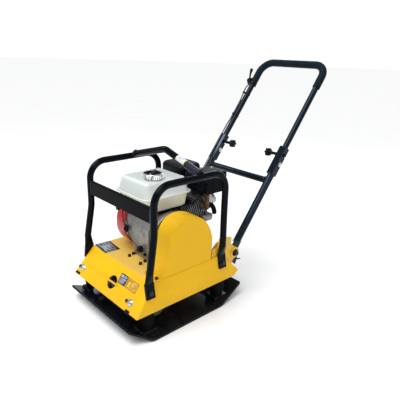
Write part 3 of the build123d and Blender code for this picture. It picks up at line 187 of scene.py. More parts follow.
def surf(name, base, metallic=0.0, rough=(0.3, 0.42), var=0.10, vscale=7.0,
         grain=(900.0, 0.12, 0.0002), wavy=(40.0, 0.05, 0.0006), edge=None, dust=None, low=None,
         round_r=0.0008, coat=0.0, spec=0.5, scratch=None, blotch=None, tint=None):
    """A varied surface with wear marks. edge=(colour, radius, amount) tints bevelled edges, as wear and, on the
    cylinder fins, as a painted highlight; dust=(colour, amount);
    low=(colour, z0, z1, amount) blends a colour in towards the bottom, fading out between z0 and z1; blotch=(colour,
    scale, lo, hi)."""
    n = Net(name)
    big = n.noise(vscale, 5, 0.6)
    col = n.mix(n.span(big, 0.3, 0.7), sc3(base, 1 - var), sc3(base, 1 + var))
    mid = n.noise(vscale * 9, 6, 0.65)
    col = n.mix(n.span(mid, 0.35, 0.75, 0.0, 0.55), col, sc3(base, 1 - var * 0.8))
    r = n.span(mid, 0.3, 0.7, rough[0], rough[1])
    met = metallic
    if blotch:
        f = n.span(n.noise(blotch[1], 8, 0.7, dist=0.4), blotch[2], blotch[3])
        col = n.mix(f, col, blotch[0])
        r = n.math("ADD", r, n.math("MULTIPLY", f, 0.18), clamp=True)
    if dust:
        f = n.math("MULTIPLY", n.span(n.noise(vscale * 3.2, 8, 0.75), 0.46, 0.72), dust[1])
        col = n.mix(f, col, dust[0])
        r = n.math("ADD", r, n.math("MULTIPLY", f, 0.5), clamp=True)
    if scratch:
        a = n.noise(1.0, 2, 0.5, n.stretch(30, 900, 60, (0.3, 0.5, 0.7)))
        b = n.noise(1.0, 2, 0.5, n.stretch(700, 24, 50, (0.9, 0.2, 0.4)))
        f = n.math("MULTIPLY", n.math("MAXIMUM", n.span(a, 0.69, 0.72), n.span(b, 0.70, 0.73)),
                   n.math("MULTIPLY", n.span(big, 0.45, 0.62), scratch[1]))
        col = n.mix(f, col, scratch[0])
    if low:
        z = n.xyz()[2]
        f = n.math("MULTIPLY", n.span(z, low[1], low[2], 1.0, 0.0, True),
                   n.span(n.noise(vscale * 5, 7, 0.7), 0.35, 0.7, 0.15, 1.0))
        f = n.math("MULTIPLY", f, low[3])
        col = n.mix(f, col, low[0])
        r = n.math("ADD", r, n.math("MULTIPLY", f, 0.35), clamp=True)
    if edge:
        e = n.math("MULTIPLY", n.edge(edge[1]), n.span(n.noise(vscale * 16, 6, 0.7), 0.4, 0.62))
        e = n.math("MULTIPLY", e, edge[2])
        col = n.mix(e, col, edge[0])
    n.put(n.b.inputs["Base Color"], col)
    n.put(n.b.inputs["Roughness"], r)
    n.b.inputs["Metallic"].default_value = met
    n.b.inputs["Specular IOR Level"].default_value = spec
    if tint:
        n.b.inputs["Specular Tint"].default_value = (*tint, 1)
    if coat:
        n.b.inputs["Coat Weight"].default_value = coat
        n.b.inputs["Coat Roughness"].default_value = 0.12
    nr = n.bump(n.noise(wavy[0], 3, 0.5), wavy[1], wavy[2], round_r)
    nr = n.bump(n.noise(grain[0], 3, 0.6), grain[1], grain[2], after=nr)
    n.put(n.b.inputs["Normal"], nr)
    return n.m


YEL = (0.83, 0.468, 0.006)
M = {}
M["yellow"] = surf("yellow_powder_coat", YEL, rough=(0.30, 0.44), var=0.07, vscale=5,
                   grain=(1300, 0.10, 0.00012), wavy=(28, 0.10, 0.0007),
                   edge=((0.95, 0.62, 0.05), 0.0016, 0.55), dust=((0.70, 0.44, 0.05), 0.14),
                   low=((0.42, 0.26, 0.05), 0.10, 0.15, 0.35), scratch=((0.55, 0.33, 0.02), 0.5),
                   coat=0.03, spec=0.14, round_r=0.0014)
# deck top: a paler copy of the yellow paint, painted light on the upward faces, with more dust as well
M["yellow_top_painted_light"] = surf("yellow_deck_top_painted_light", (0.78, 0.50, 0.085), rough=(0.32, 0.5), var=0.08, vscale=6,
                       grain=(1300, 0.10, 0.00012), wavy=(28, 0.10, 0.0007),
                       edge=((0.95, 0.66, 0.10), 0.0016, 0.5), dust=((0.72, 0.52, 0.18), 0.3),
                       scratch=((0.55, 0.35, 0.05), 0.5), coat=0.05, spec=0.3, round_r=0.0014)
M["yellow_plate"] = surf("yellow_bracket_paint", (0.80, 0.47, 0.016), rough=(0.32, 0.5), var=0.1,
                         edge=((0.95, 0.70, 0.12), 0.0014, 0.6), dust=((0.5, 0.36, 0.12), 0.25),
                         coat=0.2, round_r=0.001)
M["frame"] = surf("black_gloss_enamel", (0.0016, 0.0021, 0.0034), rough=(0.09, 0.17), var=0.3, vscale=6,
                  grain=(1100, 0.08, 0.00012), wavy=(55, 0.10, 0.0005),
                  edge=((0.045, 0.055, 0.075), 0.0012, 0.5), dust=((0.012, 0.015, 0.02), 0.08),
                  scratch=((0.03, 0.04, 0.055), 0.2), coat=0.01, spec=0.095, tint=(0.62, 0.80, 1.0),
                  round_r=0.0008)
# handle tubes: a navy-tinted copy of the black frame enamel, a painted blue sheen on the tilted tubes; dust and
# scratches are wear
M["handle"] = surf("handle_enamel_painted_sheen", (0.0026, 0.0050, 0.0100), rough=(0.10, 0.18), var=0.3, vscale=6,
                   grain=(1100, 0.08, 0.00012), wavy=(55, 0.10, 0.0005),
                   edge=((0.045, 0.06, 0.085), 0.0012, 0.5), dust=((0.02, 0.03, 0.045), 0.10),
                   scratch=((0.05, 0.07, 0.10), 0.3), coat=0.02, spec=0.24, tint=(0.5, 0.74, 1.0),
                   round_r=0.0008)
# front bar: a darker, duller copy of the black frame enamel, painted shade
M["bar"] = surf("bar_enamel_painted_shade", (0.0012, 0.0016, 0.0026), rough=(0.16, 0.26), var=0.3, vscale=6,
                grain=(1100, 0.08, 0.00012), wavy=(40, 0.10, 0.0005),
                edge=((0.03, 0.045, 0.07), 0.0014, 0.6), dust=((0.008, 0.010, 0.014), 0.08),
                scratch=((0.02, 0.028, 0.04), 0.2), coat=0.0, spec=0.035, tint=(0.62, 0.80, 1.0),
                round_r=0.0008)
M["base"] = surf("black_base_enamel", (0.0035, 0.004, 0.005), rough=(0.20, 0.38), var=0.35, vscale=5,
                 grain=(700, 0.16, 0.0002), wavy=(24, 0.16, 0.001),
                 edge=((0.16, 0.18, 0.20), 0.002, 0.75), dust=((0.03, 0.033, 0.037), 0.2),
                 low=((0.035, 0.035, 0.035), 0.0, 0.05, 0.2), scratch=((0.10, 0.11, 0.125), 0.7),
                 coat=0.02, spec=0.13, tint=(0.7, 0.85, 1.0), round_r=0.002)
M["rubber"] = surf("mount_rubber", (0.003, 0.003, 0.0036), rough=(0.55, 0.75), var=0.3, vscale=14,
                   grain=(700, 0.3, 0.0003), dust=((0.012, 0.012, 0.012), 0.25), spec=0.06, round_r=0.001)
M["foam"] = surf("grip_foam", (0.0045, 0.0095, 0.0140), rough=(0.5, 0.72), var=0.3, vscale=16,
                 grain=(1500, 0.55, 0.0005), wavy=(260, 0.35, 0.0006), dust=((0.016, 0.028, 0.038), 0.2),
                 spec=0.16, tint=(0.5, 0.75, 1.0), round_r=0.002)
M["exciter"] = surf("exciter_enamel", (0.045, 0.056, 0.105), rough=(0.3, 0.5), var=0.2, vscale=10,
                    grain=(500, 0.3, 0.0004), wavy=(90, 0.25, 0.0008),
                    edge=((0.16, 0.18, 0.24), 0.0016, 0.5), dust=((0.05, 0.05, 0.06), 0.3), coat=0.1)
# exciter neck: a far lighter copy of the blue-grey exciter enamel, painted light against the shade under the deck
M["neck"] = surf("filler_neck_enamel_painted_light", (0.32, 0.38, 0.68), rough=(0.3, 0.5), var=0.2, vscale=10,
                 grain=(500, 0.3, 0.0004), wavy=(90, 0.25, 0.0008), dust=((0.25, 0.27, 0.36), 0.3), coat=0.2)
M["steel"] = surf("turned_steel", (0.46, 0.46, 0.45), metallic=1.0, rough=(0.24, 0.42), var=0.12, vscale=18,
                  grain=(1500, 0.15, 0.0001), blotch=((0.22, 0.13, 0.07), 40, 0.62, 0.78))
M["zinc"] = surf("zinc_plated", (0.62, 0.64, 0.66), metallic=1.0, rough=(0.20, 0.36), var=0.10, vscale=30,
                 grain=(1600, 0.12, 0.0001), dust=((0.35, 0.33, 0.28), 0.25),
                 edge=((0.85, 0.86, 0.88), 0.0006, 0.6), round_r=0.0006)
M["darkbolt"] = surf("black_oxide_bolts", (0.022, 0.024, 0.028), metallic=0.6, rough=(0.28, 0.45), var=0.2,
                     vscale=30, edge=((0.20, 0.21, 0.23), 0.0007, 0.7), dust=((0.12, 0.11, 0.10), 0.2))
M["iron"] = surf("pulley_iron", (0.13, 0.13, 0.135), metallic=0.8, rough=(0.35, 0.55), var=0.2, vscale=16,
                 grain=(500, 0.3, 0.0004), edge=((0.5, 0.5, 0.5), 0.001, 0.8),
                 blotch=((0.16, 0.08, 0.04), 30, 0.6, 0.75))
M["belt"] = surf("belt_rubber", (0.015, 0.015, 0.017), rough=(0.5, 0.7), var=0.3, vscale=20,
                 grain=(900, 0.4, 0.0003), wavy=(300, 0.4, 0.0008), dust=((0.10, 0.10, 0.09), 0.3), spec=0.3)
M["alu"] = surf("cast_aluminium", (0.34, 0.34, 0.32), metallic=0.85, rough=(0.36, 0.56), var=0.14, vscale=14,
                grain=(420, 0.4, 0.0005), wavy=(120, 0.2, 0.0005),
                edge=((0.72, 0.72, 0.70), 0.0014, 0.6), dust=((0.16, 0.14, 0.11), 0.4),
                blotch=((0.10, 0.085, 0.07), 26, 0.60, 0.80))
# cylinder casting: near-black faces for painted shade between the fins, near-white bevelled edges for a painted
# highlight on the fin edges; brown blotches are stains
M["fins"] = surf("cylinder_casting", (0.03, 0.031, 0.034), metallic=0.6, rough=(0.28, 0.45), var=0.2, vscale=16,
                 grain=(420, 0.45, 0.0005), edge=((0.95, 0.96, 0.98), 0.0015, 1.0),
                 dust=((0.03, 0.028, 0.026), 0.3), blotch=((0.09, 0.06, 0.045), 30, 0.6, 0.8))
# fin rims: a lighter copy of the casting for the outer fin faces, a painted highlight
M["fin_rim"] = surf("painted_highlight_fin_rims", (0.25, 0.255, 0.27), metallic=0.75, rough=(0.3, 0.5), var=0.2, vscale=20,
                    grain=(420, 0.4, 0.0004), dust=((0.16, 0.15, 0.13), 0.3), blotch=((0.09, 0.06, 0.045), 30, 0.62, 0.8))
M["valve"] = surf("valve_cover_silver", (0.60, 0.62, 0.64), metallic=0.5, rough=(0.3, 0.45), var=0.08,
                  vscale=14, grain=(600, 0.3, 0.0003), edge=((0.85, 0.86, 0.88), 0.0014, 0.4),
                  dust=((0.25, 0.23, 0.20), 0.25))
# red shroud: a lighter orange blended in towards the bottom, just above the deck
M["red"] = surf("red_enamel", (0.50, 0.012, 0.008), rough=(0.22, 0.36), var=0.14, vscale=9,
                grain=(900, 0.12, 0.0002), edge=((0.85, 0.12, 0.05), 0.0016, 0.5),
                dust=((0.25, 0.06, 0.04), 0.2), low=((0.78, 0.20, 0.02), 0.225, 0.30, 0.85), coat=0.3,
                round_r=0.0016)
M["muffler"] = surf("muffler_enamel", (0.004, 0.0045, 0.006), rough=(0.22, 0.36), var=0.3, vscale=10,
                    grain=(600, 0.3, 0.0003), edge=((0.12, 0.12, 0.13), 0.0012, 0.6),
                    dust=((0.02, 0.019, 0.018), 0.2), blotch=((0.02, 0.012, 0.009), 20, 0.62, 0.8),
                    coat=0.0, spec=0.05, tint=(0.6, 0.75, 1.0), round_r=0.0012)
M["rust"] = surf("rusty_exhaust", (0.20, 0.085, 0.035), metallic=0.2, rough=(0.6, 0.85), var=0.35, vscale=24,
                 grain=(500, 0.6, 0.0006), wavy=(160, 0.4, 0.0007),
                 blotch=((0.055, 0.035, 0.028), 30, 0.45, 0.65), edge=((0.35, 0.18, 0.08), 0.001, 0.5))
M["plastic"] = surf("moulded_plastic", (0.0035, 0.004, 0.0055), rough=(0.32, 0.50), var=0.2, vscale=12,
                    grain=(1400, 0.35, 0.0002), wavy=(70, 0.08, 0.0006),
                    edge=((0.05, 0.055, 0.065), 0.0012, 0.6), dust=((0.02, 0.02, 0.021), 0.15), spec=0.14,
                    round_r=0.0014)
M["white"] = surf("tank_white_enamel", (0.70, 0.75, 0.735), rough=(0.16, 0.28), var=0.035, vscale=7,
                  grain=(900, 0.06, 0.0001), wavy=(26, 0.08, 0.0006),
                  edge=((0.82, 0.86, 0.85), 0.0018, 0.5), dust=((0.50, 0.50, 0.45), 0.14), coat=0.35,
                  round_r=0.0016)
# lower tank half: cream paint set lighter than the upper white to lift its shaded sides, partly its own cream colour
# and partly painted light
M["cream"] = surf("tank_cream_enamel_lightened", (0.86, 0.83, 0.64), rough=(0.2, 0.34), var=0.06, vscale=8,
                  grain=(900, 0.08, 0.0001), wavy=(30, 0.08, 0.0006), dust=((0.66, 0.62, 0.48), 0.2),
                  edge=((0.95, 0.93, 0.80), 0.0018, 0.5), coat=0.5, round_r=0.0016)
M["chrome"] = surf("cap_chrome", (0.78, 0.79, 0.81), metallic=1.0, rough=(0.07, 0.18), var=0.05, vscale=20,
                   grain=(900, 0.06, 0.0001), dust=((0.45, 0.44, 0.42), 0.12), round_r=0.0009)
M["sheath"] = surf("cable_sheath", (0.011, 0.011, 0.013), rough=(0.35, 0.5), var=0.25, vscale=30,
                   grain=(900, 0.25, 0.0002), dust=((0.08, 0.08, 0.08), 0.2), round_r=0.0004)
M["sheath_gloss"] = surf("cable_wrap_plastic", (0.02, 0.022, 0.027), rough=(0.16, 0.28), var=0.25, vscale=30,
                         grain=(900, 0.15, 0.0001), dust=((0.10, 0.11, 0.12), 0.2), coat=0.4, round_r=0.0003)
M["weld"] = surf("painted_weld", (0.008, 0.009, 0.012), rough=(0.24, 0.4), var=0.3, vscale=40,
                 grain=(600, 0.3, 0.0003), wavy=(220, 0.3, 0.0006), dust=((0.10, 0.11, 0.12), 0.2), coat=0.4)
M["weld_yel"] = surf("painted_weld_yellow", (0.78, 0.46, 0.016), rough=(0.3, 0.45), var=0.12, vscale=40,
                     grain=(600, 0.3, 0.0003), wavy=(220, 0.3, 0.0006), coat=0.2)
M["red"].name = "red_enamel"
M["dark"] = surf("shadow_black", (0.006, 0.006, 0.007), rough=(0.6, 0.8), var=0.3, vscale=20, spec=0.2)
M["sleeve"] = surf("navy_sleeve", (0.008, 0.009, 0.028), rough=(0.28, 0.42), var=0.25, vscale=18,
                   grain=(800, 0.25, 0.0002), wavy=(110, 0.2, 0.0005), dust=((0.03, 0.03, 0.05), 0.2), spec=0.25)
M["hose"] = surf("fuel_hose_rubber", (0.02, 0.02, 0.022), rough=(0.4, 0.6), var=0.25, vscale=24,
                 grain=(900, 0.3, 0.0002), spec=0.4)
M["orange"] = surf("orange_lever", (0.72, 0.16, 0.015), rough=(0.3, 0.45), var=0.12, vscale=20, coat=0.2)
M["brassy"] = surf("yellow_passivated", (0.55, 0.42, 0.20), metallic=1.0, rough=(0.25, 0.4), var=0.2,
                   vscale=40, dust=((0.2, 0.17, 0.1), 0.2), round_r=0.0005)

NODE_MAT = {
    "deck": "yellow", "belt_guard": "yellow", "handle_brackets": "yellow_plate",
    "cage_hoop_left": "frame", "cage_hoop_right": "frame", "cage_front_bar": "bar",
    "lifting_arch": "frame", "handle_lower": "handle", "handle_upper": "handle",
    "tank_bracket": "muffler", "base_plate": "base", "rubber_mounts": "rubber",
    "pivot_bushes": "rubber", "handle_grip": "foam", "exciter_housing": "exciter",
    "exciter_covers": "exciter", "exciter_shaft": "steel", "exciter_bearings": "steel",
    "crankshaft": "steel", "deck_bolts": "zinc", "fold_bolts": "zinc", "engine_bolts": "zinc",
    "cage_bolts": "darkbolt", "pivot_bolts": "darkbolt", "base_bolts": "darkbolt",
    "exciter_pulley": "iron", "clutch_pulley": "iron", "drive_belt": "belt",
    "crankcase": "alu", "crankcase_cover": "alu", "carburetor": "alu", "flywheel_fan": "alu",
    "cylinder": "fins", "cylinder_head": "fins", "valve_cover": "valve", "fan_shroud": "red",
    "recoil_cover": "red", "muffler": "muffler", "muffler_guard": "muffler", "exhaust_pipe": "rust",
    "tank_upper": "white", "tank_lower": "cream", "fuel_cap": "chrome",
    "cable_upper": "sheath", "cable_fold": "sheath", "cable_engine": "sheath",
}
for name, o in NODES.items():
    mat = M[NODE_MAT.get(name, "plastic")]
    o.data.materials.clear()
    o.data.materials.append(mat)
    for p in o.data.polygons:
        p.material_index = 0


def by_face(node, mats, pick):
    """Gives each face of a CAD node one of several materials; the mesh is left as it is."""
    me = NODES[node].data
    me.materials.clear()
    for m in mats:
        me.materials.append(M[m])
    for p in me.polygons:
        p.material_index = pick(p.center)


def dome_or_bolt(c):
    if c.z < 0.2 and (abs(c.y + 0.191) < 0.016 or abs(c.y - 0.159) < 0.016):
        return 0
    return 1


by_face("deck_bolts", ["zinc", "darkbolt"], dome_or_bolt)
# upward deck faces above the sides take the paler copy: painted light on the top
by_face("deck", ["yellow", "yellow_top_painted_light"], lambda c: 0)
for p in NODES["deck"].data.polygons:
    if p.normal.z > 0.97 and p.center.z > 0.205:
        p.material_index = 1
# inner cylinder and head faces take the dark paint (painted shade between the fins), the outer rims the lighter copy
# (painted highlight)
for node in ("cylinder", "cylinder_head"):
    me = NODES[node].data
    me.materials.clear()
    me.materials.append(M["fins"])
    me.materials.append(M["fin_rim"])
    for p in me.polygons:
        n = p.center.x * 0.34202 + (p.center.z - 0.3205) * 0.93969
        p.material_index = 1 if abs(p.center.y - 0.015) > 0.0518 or abs(n) > 0.0468 else 0
by_face("exhaust_pipe", ["rust", "fins"], lambda c: 0 if c.z > 0.408 else 1)
by_face("fuel_cap", ["chrome", "plastic"],
        lambda c: 1 if math.hypot(c.x - 0.020, c.y + 0.002) < 0.0325 and c.z > 0.5485 else 0)

# ------------------------------------------------------------------
# mesh helpers
# ------------------------------------------------------------------
def make(name, verts, faces, mat, body, smooth=True, bevel=0.0, sub=0):
    me = bpy.data.meshes.new(name)
    me.from_pydata([tuple(v) for v in verts], [], faces)
    me.update()
    bm = bmesh.new()
    bm.from_mesh(me)
    bmesh.ops.remove_doubles(bm, verts=bm.verts, dist=1e-6)
    bmesh.ops.recalc_face_normals(bm, faces=bm.faces)
    bm.to_mesh(me)
    bm.free()
    o = bpy.data.objects.new(name, me)
    scene.collection.objects.link(o)
    me.materials.append(M[mat] if isinstance(mat, str) else mat)
    if smooth:
        for p in me.polygons:
            p.use_smooth = True
    if bevel:
        b = o.modifiers.new("bevel", "BEVEL")
        b.width = bevel
        b.segments = 3
        b.limit_method = "ANGLE"
        b.angle_limit = math.radians(35)
        b.harden_normals = False
    if sub:
        s = o.modifiers.new("sub", "SUBSURF")
        s.levels = s.render_levels = sub
    if bevel or sub:
        dg = bpy.context.evaluated_depsgraph_get()
        new = bpy.data.meshes.new_from_object(o.evaluated_get(dg))
        o.modifiers.clear()
        o.data = new
    if smooth and bevel:
        for p in o.data.polygons:
            p.use_smooth = True
        o.data.set_sharp_from_angle(angle=math.radians(50))
    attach(o, body)
    return o


def curve(pts, steps=12):
    """Catmull-Rom points through pts."""
    p = [2 * pts[0] - pts[1]] + list(pts) + [2 * pts[-1] - pts[-2]]
    out = []
    for i in range(1, len(p) - 2):
        for k in range(steps):
            t = k / steps
            a, b, c, d = p[i - 1], p[i], p[i + 1], p[i + 2]
            out.append(0.5 * ((2 * b) + (c - a) * t + (2 * a - 5 * b + 4 * c - d) * t * t
                              + (3 * b - a - 3 * c + d) * t ** 3))
    out.append(pts[-1].copy())
    return out


def sweep(path, rfun, seg=14, closed=False, cap=True):
    """Verts and faces of a tube along path. rfun(i, angle) gives the radius."""
    n = len(path)
    vs, fs = [], []
    t0 = (path[1] - path[0]).normalized()
    up = Vector((0, 0, 1)) if abs(t0.z) < 0.9 else Vector((1, 0, 0))
    u = (up - t0 * up.dot(t0)).normalized()
    for i in range(n):
        if closed:
            t = (path[(i + 1) % n] - path[i - 1]).normalized()
        else:
            t = (path[min(i + 1, n - 1)] - path[max(i - 1, 0)]).normalized()
        u = (u - t * u.dot(t)).normalized()
        w = t.cross(u)
        for k in range(seg):
            a = 2 * math.pi * k / seg
            r = rfun(i, a)
            vs.append(path[i] + (u * math.cos(a) + w * math.sin(a)) * r)
    m = n if closed else n - 1
    for i in range(m):
        j = (i + 1) % n
        for k in range(seg):
            k2 = (k + 1) % seg
            fs.append((i * seg + k, i * seg + k2, j * seg + k2, j * seg + k))
    if not closed and cap:
        fs.append(tuple(range(seg - 1, -1, -1)))
        fs.append(tuple((n - 1) * seg + k for k in range(seg)))
    return vs, fs


def tube(name, pts, r, mat, body, steps=12, seg=14, smooth_path=True, ripple=0.0, pitch=4):
    path = curve(pts, steps) if smooth_path else pts
    vs, fs = sweep(path, lambda i, a: r * (1 + (ripple if (i // (pitch // 2)) % 2 else 0)), seg)
    return make(name, vs, fs, mat, body)


def weld_ring(name, centre, axis, radius, r, mat, body, arc=(0, 360), tilt=None, n=90, offs=None):
    """A weld seam: a row of overlapping drops round a tube."""
    axis = Vector(axis).normalized()
    up = Vector((0, 0, 1)) if abs(axis.z) < 0.9 else Vector((1, 0, 0))
    u = (up - axis * up.dot(axis)).normalized()
    w = axis.cross(u)
    full = arc[1] - arc[0] >= 360
    path = []
    for k in range(n if full else n + 1):
        a = math.radians(arc[0] + (arc[1] - arc[0]) * k / n)
        p = Vector(centre) + (u * math.cos(a) + w * math.sin(a)) * radius
        if offs:
            p += axis * offs(a)
        path.append(p)

    def rf(i, a):
        return r * (0.78 + 0.30 * abs(math.sin(i * math.pi / 3.0)) + 0.10 * noise.noise(path[i % len(path)] * 900))
    vs, fs = sweep(path, rf, 8, closed=full)
    return make(name, vs, fs, mat, body)


def weld_line(name, a, b, r, mat, body):
    n = max(8, int((b - a).length / 0.0012))
    path = [a.lerp(b, k / n) for k in range(n + 1)]
    vs, fs = sweep(path, lambda i, q: r * (0.78 + 0.3 * abs(math.sin(i * math.pi / 3.0))
                                           + 0.1 * noise.noise(path[i] * 900)), 8)
    return make(name, vs, fs, mat, body)


def frame_of(n, x):
    n = Vector(n).normalized()
    x = Vector(x)
    x = (x - n * x.dot(n)).normalized()
    return x, n.cross(x), n


def plate(name, c, n, x, w, h, t, r, mat, body, seg=6, bevel=0.0):
    """A rounded-corner plate, w along x, h across, t thick along n, its back at c."""
    X, Y, N = frame_of(n, x)
    ring = []
    for cx, cy, a0 in ((w / 2 - r, h / 2 - r, 0), (-w / 2 + r, h / 2 - r, 90),
                       (-w / 2 + r, -h / 2 + r, 180), (w / 2 - r, -h / 2 + r, 270)):
        for k in range(seg + 1):
            a = math.radians(a0 + 90 * k / seg)
            ring.append((cx + r * math.cos(a), cy + r * math.sin(a)))
    m = len(ring)
    vs = [c + X * px + Y * py for px, py in ring] + [c + X * px + Y * py + N * t for px, py in ring]
    fs = [tuple(range(m - 1, -1, -1)), tuple(range(m, 2 * m))]
    fs += [(k, (k + 1) % m, m + (k + 1) % m, m + k) for k in range(m)]
    return make(name, vs, fs, mat, body, bevel=bevel)


def lathe(name, c, axis, prof, mat, body, seg=40, wave=None, bevel=0.0):
    """prof: list of (distance along axis, radius), closed to the axis at both ends."""
    X, Y, N = frame_of(axis, (0.31, 0.22, 0.9) if abs(Vector(axis).normalized().z) < 0.8 else (1, 0, 0))
    vs, fs = [], []
    for d, r in prof:
        for k in range(seg):
            a = 2 * math.pi * k / seg
            q = r * (1 + (wave(d, a) if wave else 0))
            vs.append(c + N * d + (X * math.cos(a) + Y * math.sin(a)) * q)
    for i in range(len(prof) - 1):
        for k in range(seg):
            k2 = (k + 1) % seg
            fs.append((i * seg + k, i * seg + k2, (i + 1) * seg + k2, (i + 1) * seg + k))
    fs.append(tuple(range(seg - 1, -1, -1)))
    fs.append(tuple((len(prof) - 1) * seg + k for k in range(seg)))
    return make(name, vs, fs, mat, body, bevel=bevel)


# ------------------------------------------------------------------
# sticker materials: plain blocks of colour, no lettering
# ------------------------------------------------------------------
def blocks(name, ground, origin, X, Y, rects, rough=0.32):
    """Paints rectangles (x0, x1, y0, y1, colour) in the plane through origin with axes X, Y (metres)."""
    n = Net(name)
    d = []
    for ax in (X, Y):
        v = n.t.nodes.new("ShaderNodeVectorMath")
        v.operation = "SUBTRACT"
        n.put(v.inputs[0], n.co)
        v.inputs[1].default_value = tuple(origin)
        q = n.t.nodes.new("ShaderNodeVectorMath")
        q.operation = "DOT_PRODUCT"
        n.put(q.inputs[0], v.outputs[0])
        q.inputs[1].default_value = tuple(ax)
        d.append(q.outputs["Value"])
    mott = n.noise(60, 5, 0.6)
    col = n.mix(n.span(mott, 0.3, 0.7), sc3(ground, 0.92), sc3(ground, 1.05))
    for x0, x1, y0, y1, c in rects:
        f = n.math("MULTIPLY", n.math("GREATER_THAN", d[0], x0), n.math("LESS_THAN", d[0], x1))
        f = n.math("MULTIPLY", f, n.math("MULTIPLY", n.math("GREATER_THAN", d[1], y0),
                                         n.math("LESS_THAN", d[1], y1)))
        col = n.mix(f, col, c)
    wear = n.span(n.noise(140, 7, 0.75), 0.66, 0.74)
    col = n.mix(n.math("MULTIPLY", wear, 0.5), col, sc3(ground, 0.55))
    n.put(n.b.inputs["Base Color"], col)
    n.put(n.b.inputs["Roughness"], n.span(mott, 0.3, 0.7, rough - 0.06, rough + 0.1))
    n.put(n.b.inputs["Normal"], n.bump(n.noise(300, 3, 0.5), 0.15, 0.0002))
    return n.m


BLUE = (0.035, 0.13, 0.42)
WHITE = (0.72, 0.75, 0.76)
INK = (0.012, 0.012, 0.014)
NAVY = (0.012, 0.022, 0.055)
PALE = (0.50, 0.54, 0.58)
# front slope, left: a plate with a blue head and pale rows
c = on_front(62.5, 178.5, 0.05)
X_, Y_, _n = frame_of(FN, (0, 1, 0))
mat = blocks("data_plate_face", NAVY, c, X_, Y_, [
    (-0.019, -0.003, 0.007, 0.0155, PALE), (0.001, 0.018, 0.0125, 0.0150, PALE),
    (0.001, 0.014, 0.0075, 0.0100, PALE), (-0.019, 0.019, -0.0010, 0.0022, (0.42, 0.50, 0.62)),
    (-0.019, 0.012, -0.0070, -0.0046, PALE), (-0.019, 0.017, -0.0115, -0.0094, PALE),
    (-0.019, 0.006, -0.0160, -0.0140, PALE)])
plate("data_plate", c, FN, (0, 1, 0), 0.045, 0.040, 0.0005, 0.0025, mat, "root")
# front slope, right of it: yellow plate with a dark outline and two dark blocks
c = on_front(121.0, 178.5, 0.05)
mat = blocks("outline_plate_face", (0.80, 0.45, 0.01), c, X_, Y_, [
    (-0.034, 0.034, 0.0160, 0.0178, INK), (-0.034, 0.034, -0.0178, -0.0160, INK),
    (-0.034, -0.0322, -0.0178, 0.0178, INK), (0.0322, 0.034, -0.0178, 0.0178, INK),
    (-0.028, -0.005, -0.0120, 0.0120, INK), (-0.0252, -0.0078, -0.0130, 0.0092, (0.80, 0.45, 0.01)),
    (0.000, 0.0018, -0.0165, 0.0165, INK),
    (0.006, 0.029, 0.0070, 0.0092, INK), (0.006, 0.024, 0.0015, 0.0037, INK),
    (0.006, 0.029, -0.0040, -0.0018, INK), (0.006, 0.018, -0.0095, -0.0073, INK)])
plate("outline_plate", c, FN, (0, 1, 0), 0.071, 0.040, 0.0005, 0.003, mat, "root")
# deck top plate near the right front corner
TOPN = Vector((0, 0, 1))
c = mm(146, -160, 214.55)
TX_, TY_, _n = frame_of(TOPN, (0.10, 1, 0))
mat = blocks("deck_plate_face", NAVY, c, TX_, TY_, [
    (-0.046, -0.020, -0.026, 0.026, PALE), (-0.042, -0.024, -0.021, 0.021, (0.03, 0.06, 0.14)),
    (-0.036, -0.030, -0.010, 0.012, PALE),
    (-0.014, -0.004, -0.024, 0.024, PALE), (0.002, 0.008, -0.024, 0.024, PALE),
    (0.014, 0.022, -0.024, 0.010, PALE), (0.014, 0.022, 0.016, 0.024, (0.35, 0.45, 0.62)),
    (0.028, 0.034, -0.024, 0.024, PALE), (0.040, 0.046, -0.024, 0.024, (0.25, 0.33, 0.50))])
plate("deck_plate", c, TOPN, (0.10, 1, 0), 0.100, 0.070, 0.0005, 0.003, mat, "root")


# ------------------------------------------------------------------
# arch: sticker wrapped on the tube, dark sleeve, welds
# ------------------------------------------------------------------
ARX, AZ0, AZ1, AY = -0.039, 0.585, 0.645, 0.214
ARC_L = 0.060


def arch_pt(y):
    """Centre line of the lifting arch at y, with its rounded apex."""
    s = (AZ1 - AZ0) / AY
    th = math.atan(s)
    ty = ARC_L * math.sin(th)
    ay = abs(y)
    if ay >= ty:
        z = AZ1 - s * ay
    else:
        z0 = AZ1 - s * ty
        cz = z0 - ARC_L * math.cos(th)
        z = cz + math.sqrt(ARC_L ** 2 - y * y)
    return Vector((ARX, y, z))


def wrap(name, y0, y1, r, t, a0, a1, mat, n=16, m=18, body="root"):
    """A curved skin on the arch tube, from angle a0 to a1 (degrees from straight up, towards +X)."""
    vs = []
    for layer in (0, 1):
        for i in range(n + 1):
            y = y0 + (y1 - y0) * i / n
            p = arch_pt(y)
            d = (arch_pt(y + 0.001) - arch_pt(y - 0.001)).normalized()
            x = Vector((1, 0, 0))
            up = x.cross(d).normalized()
            if up.z < 0:
                up = -up
            for k in range(m + 1):
                a = math.radians(a0 + (a1 - a0) * k / m)
                vs.append(p + (up * math.cos(a) + x * math.sin(a)) * (r + t * layer))
    w = m + 1
    L = (n + 1) * w
    fs = []
    for i in range(n):
        for k in range(m):
            q = i * w + k
            fs.append((q, q + 1, q + w + 1, q + w))
            fs.append((L + q, L + q + w, L + q + w + 1, L + q + 1))
    for i in range(n):
        fs.append((i * w, (i + 1) * w, L + (i + 1) * w, L + i * w))
        fs.append((i * w + m, L + i * w + m, L + (i + 1) * w + m, (i + 1) * w + m))
    for k in range(m):
        fs.append((k, L + k, L + k + 1, k + 1))
        fs.append((n * w + k, n * w + k + 1, L + n * w + k + 1, L + n * w + k))
    return make(name, vs, fs, mat, body)


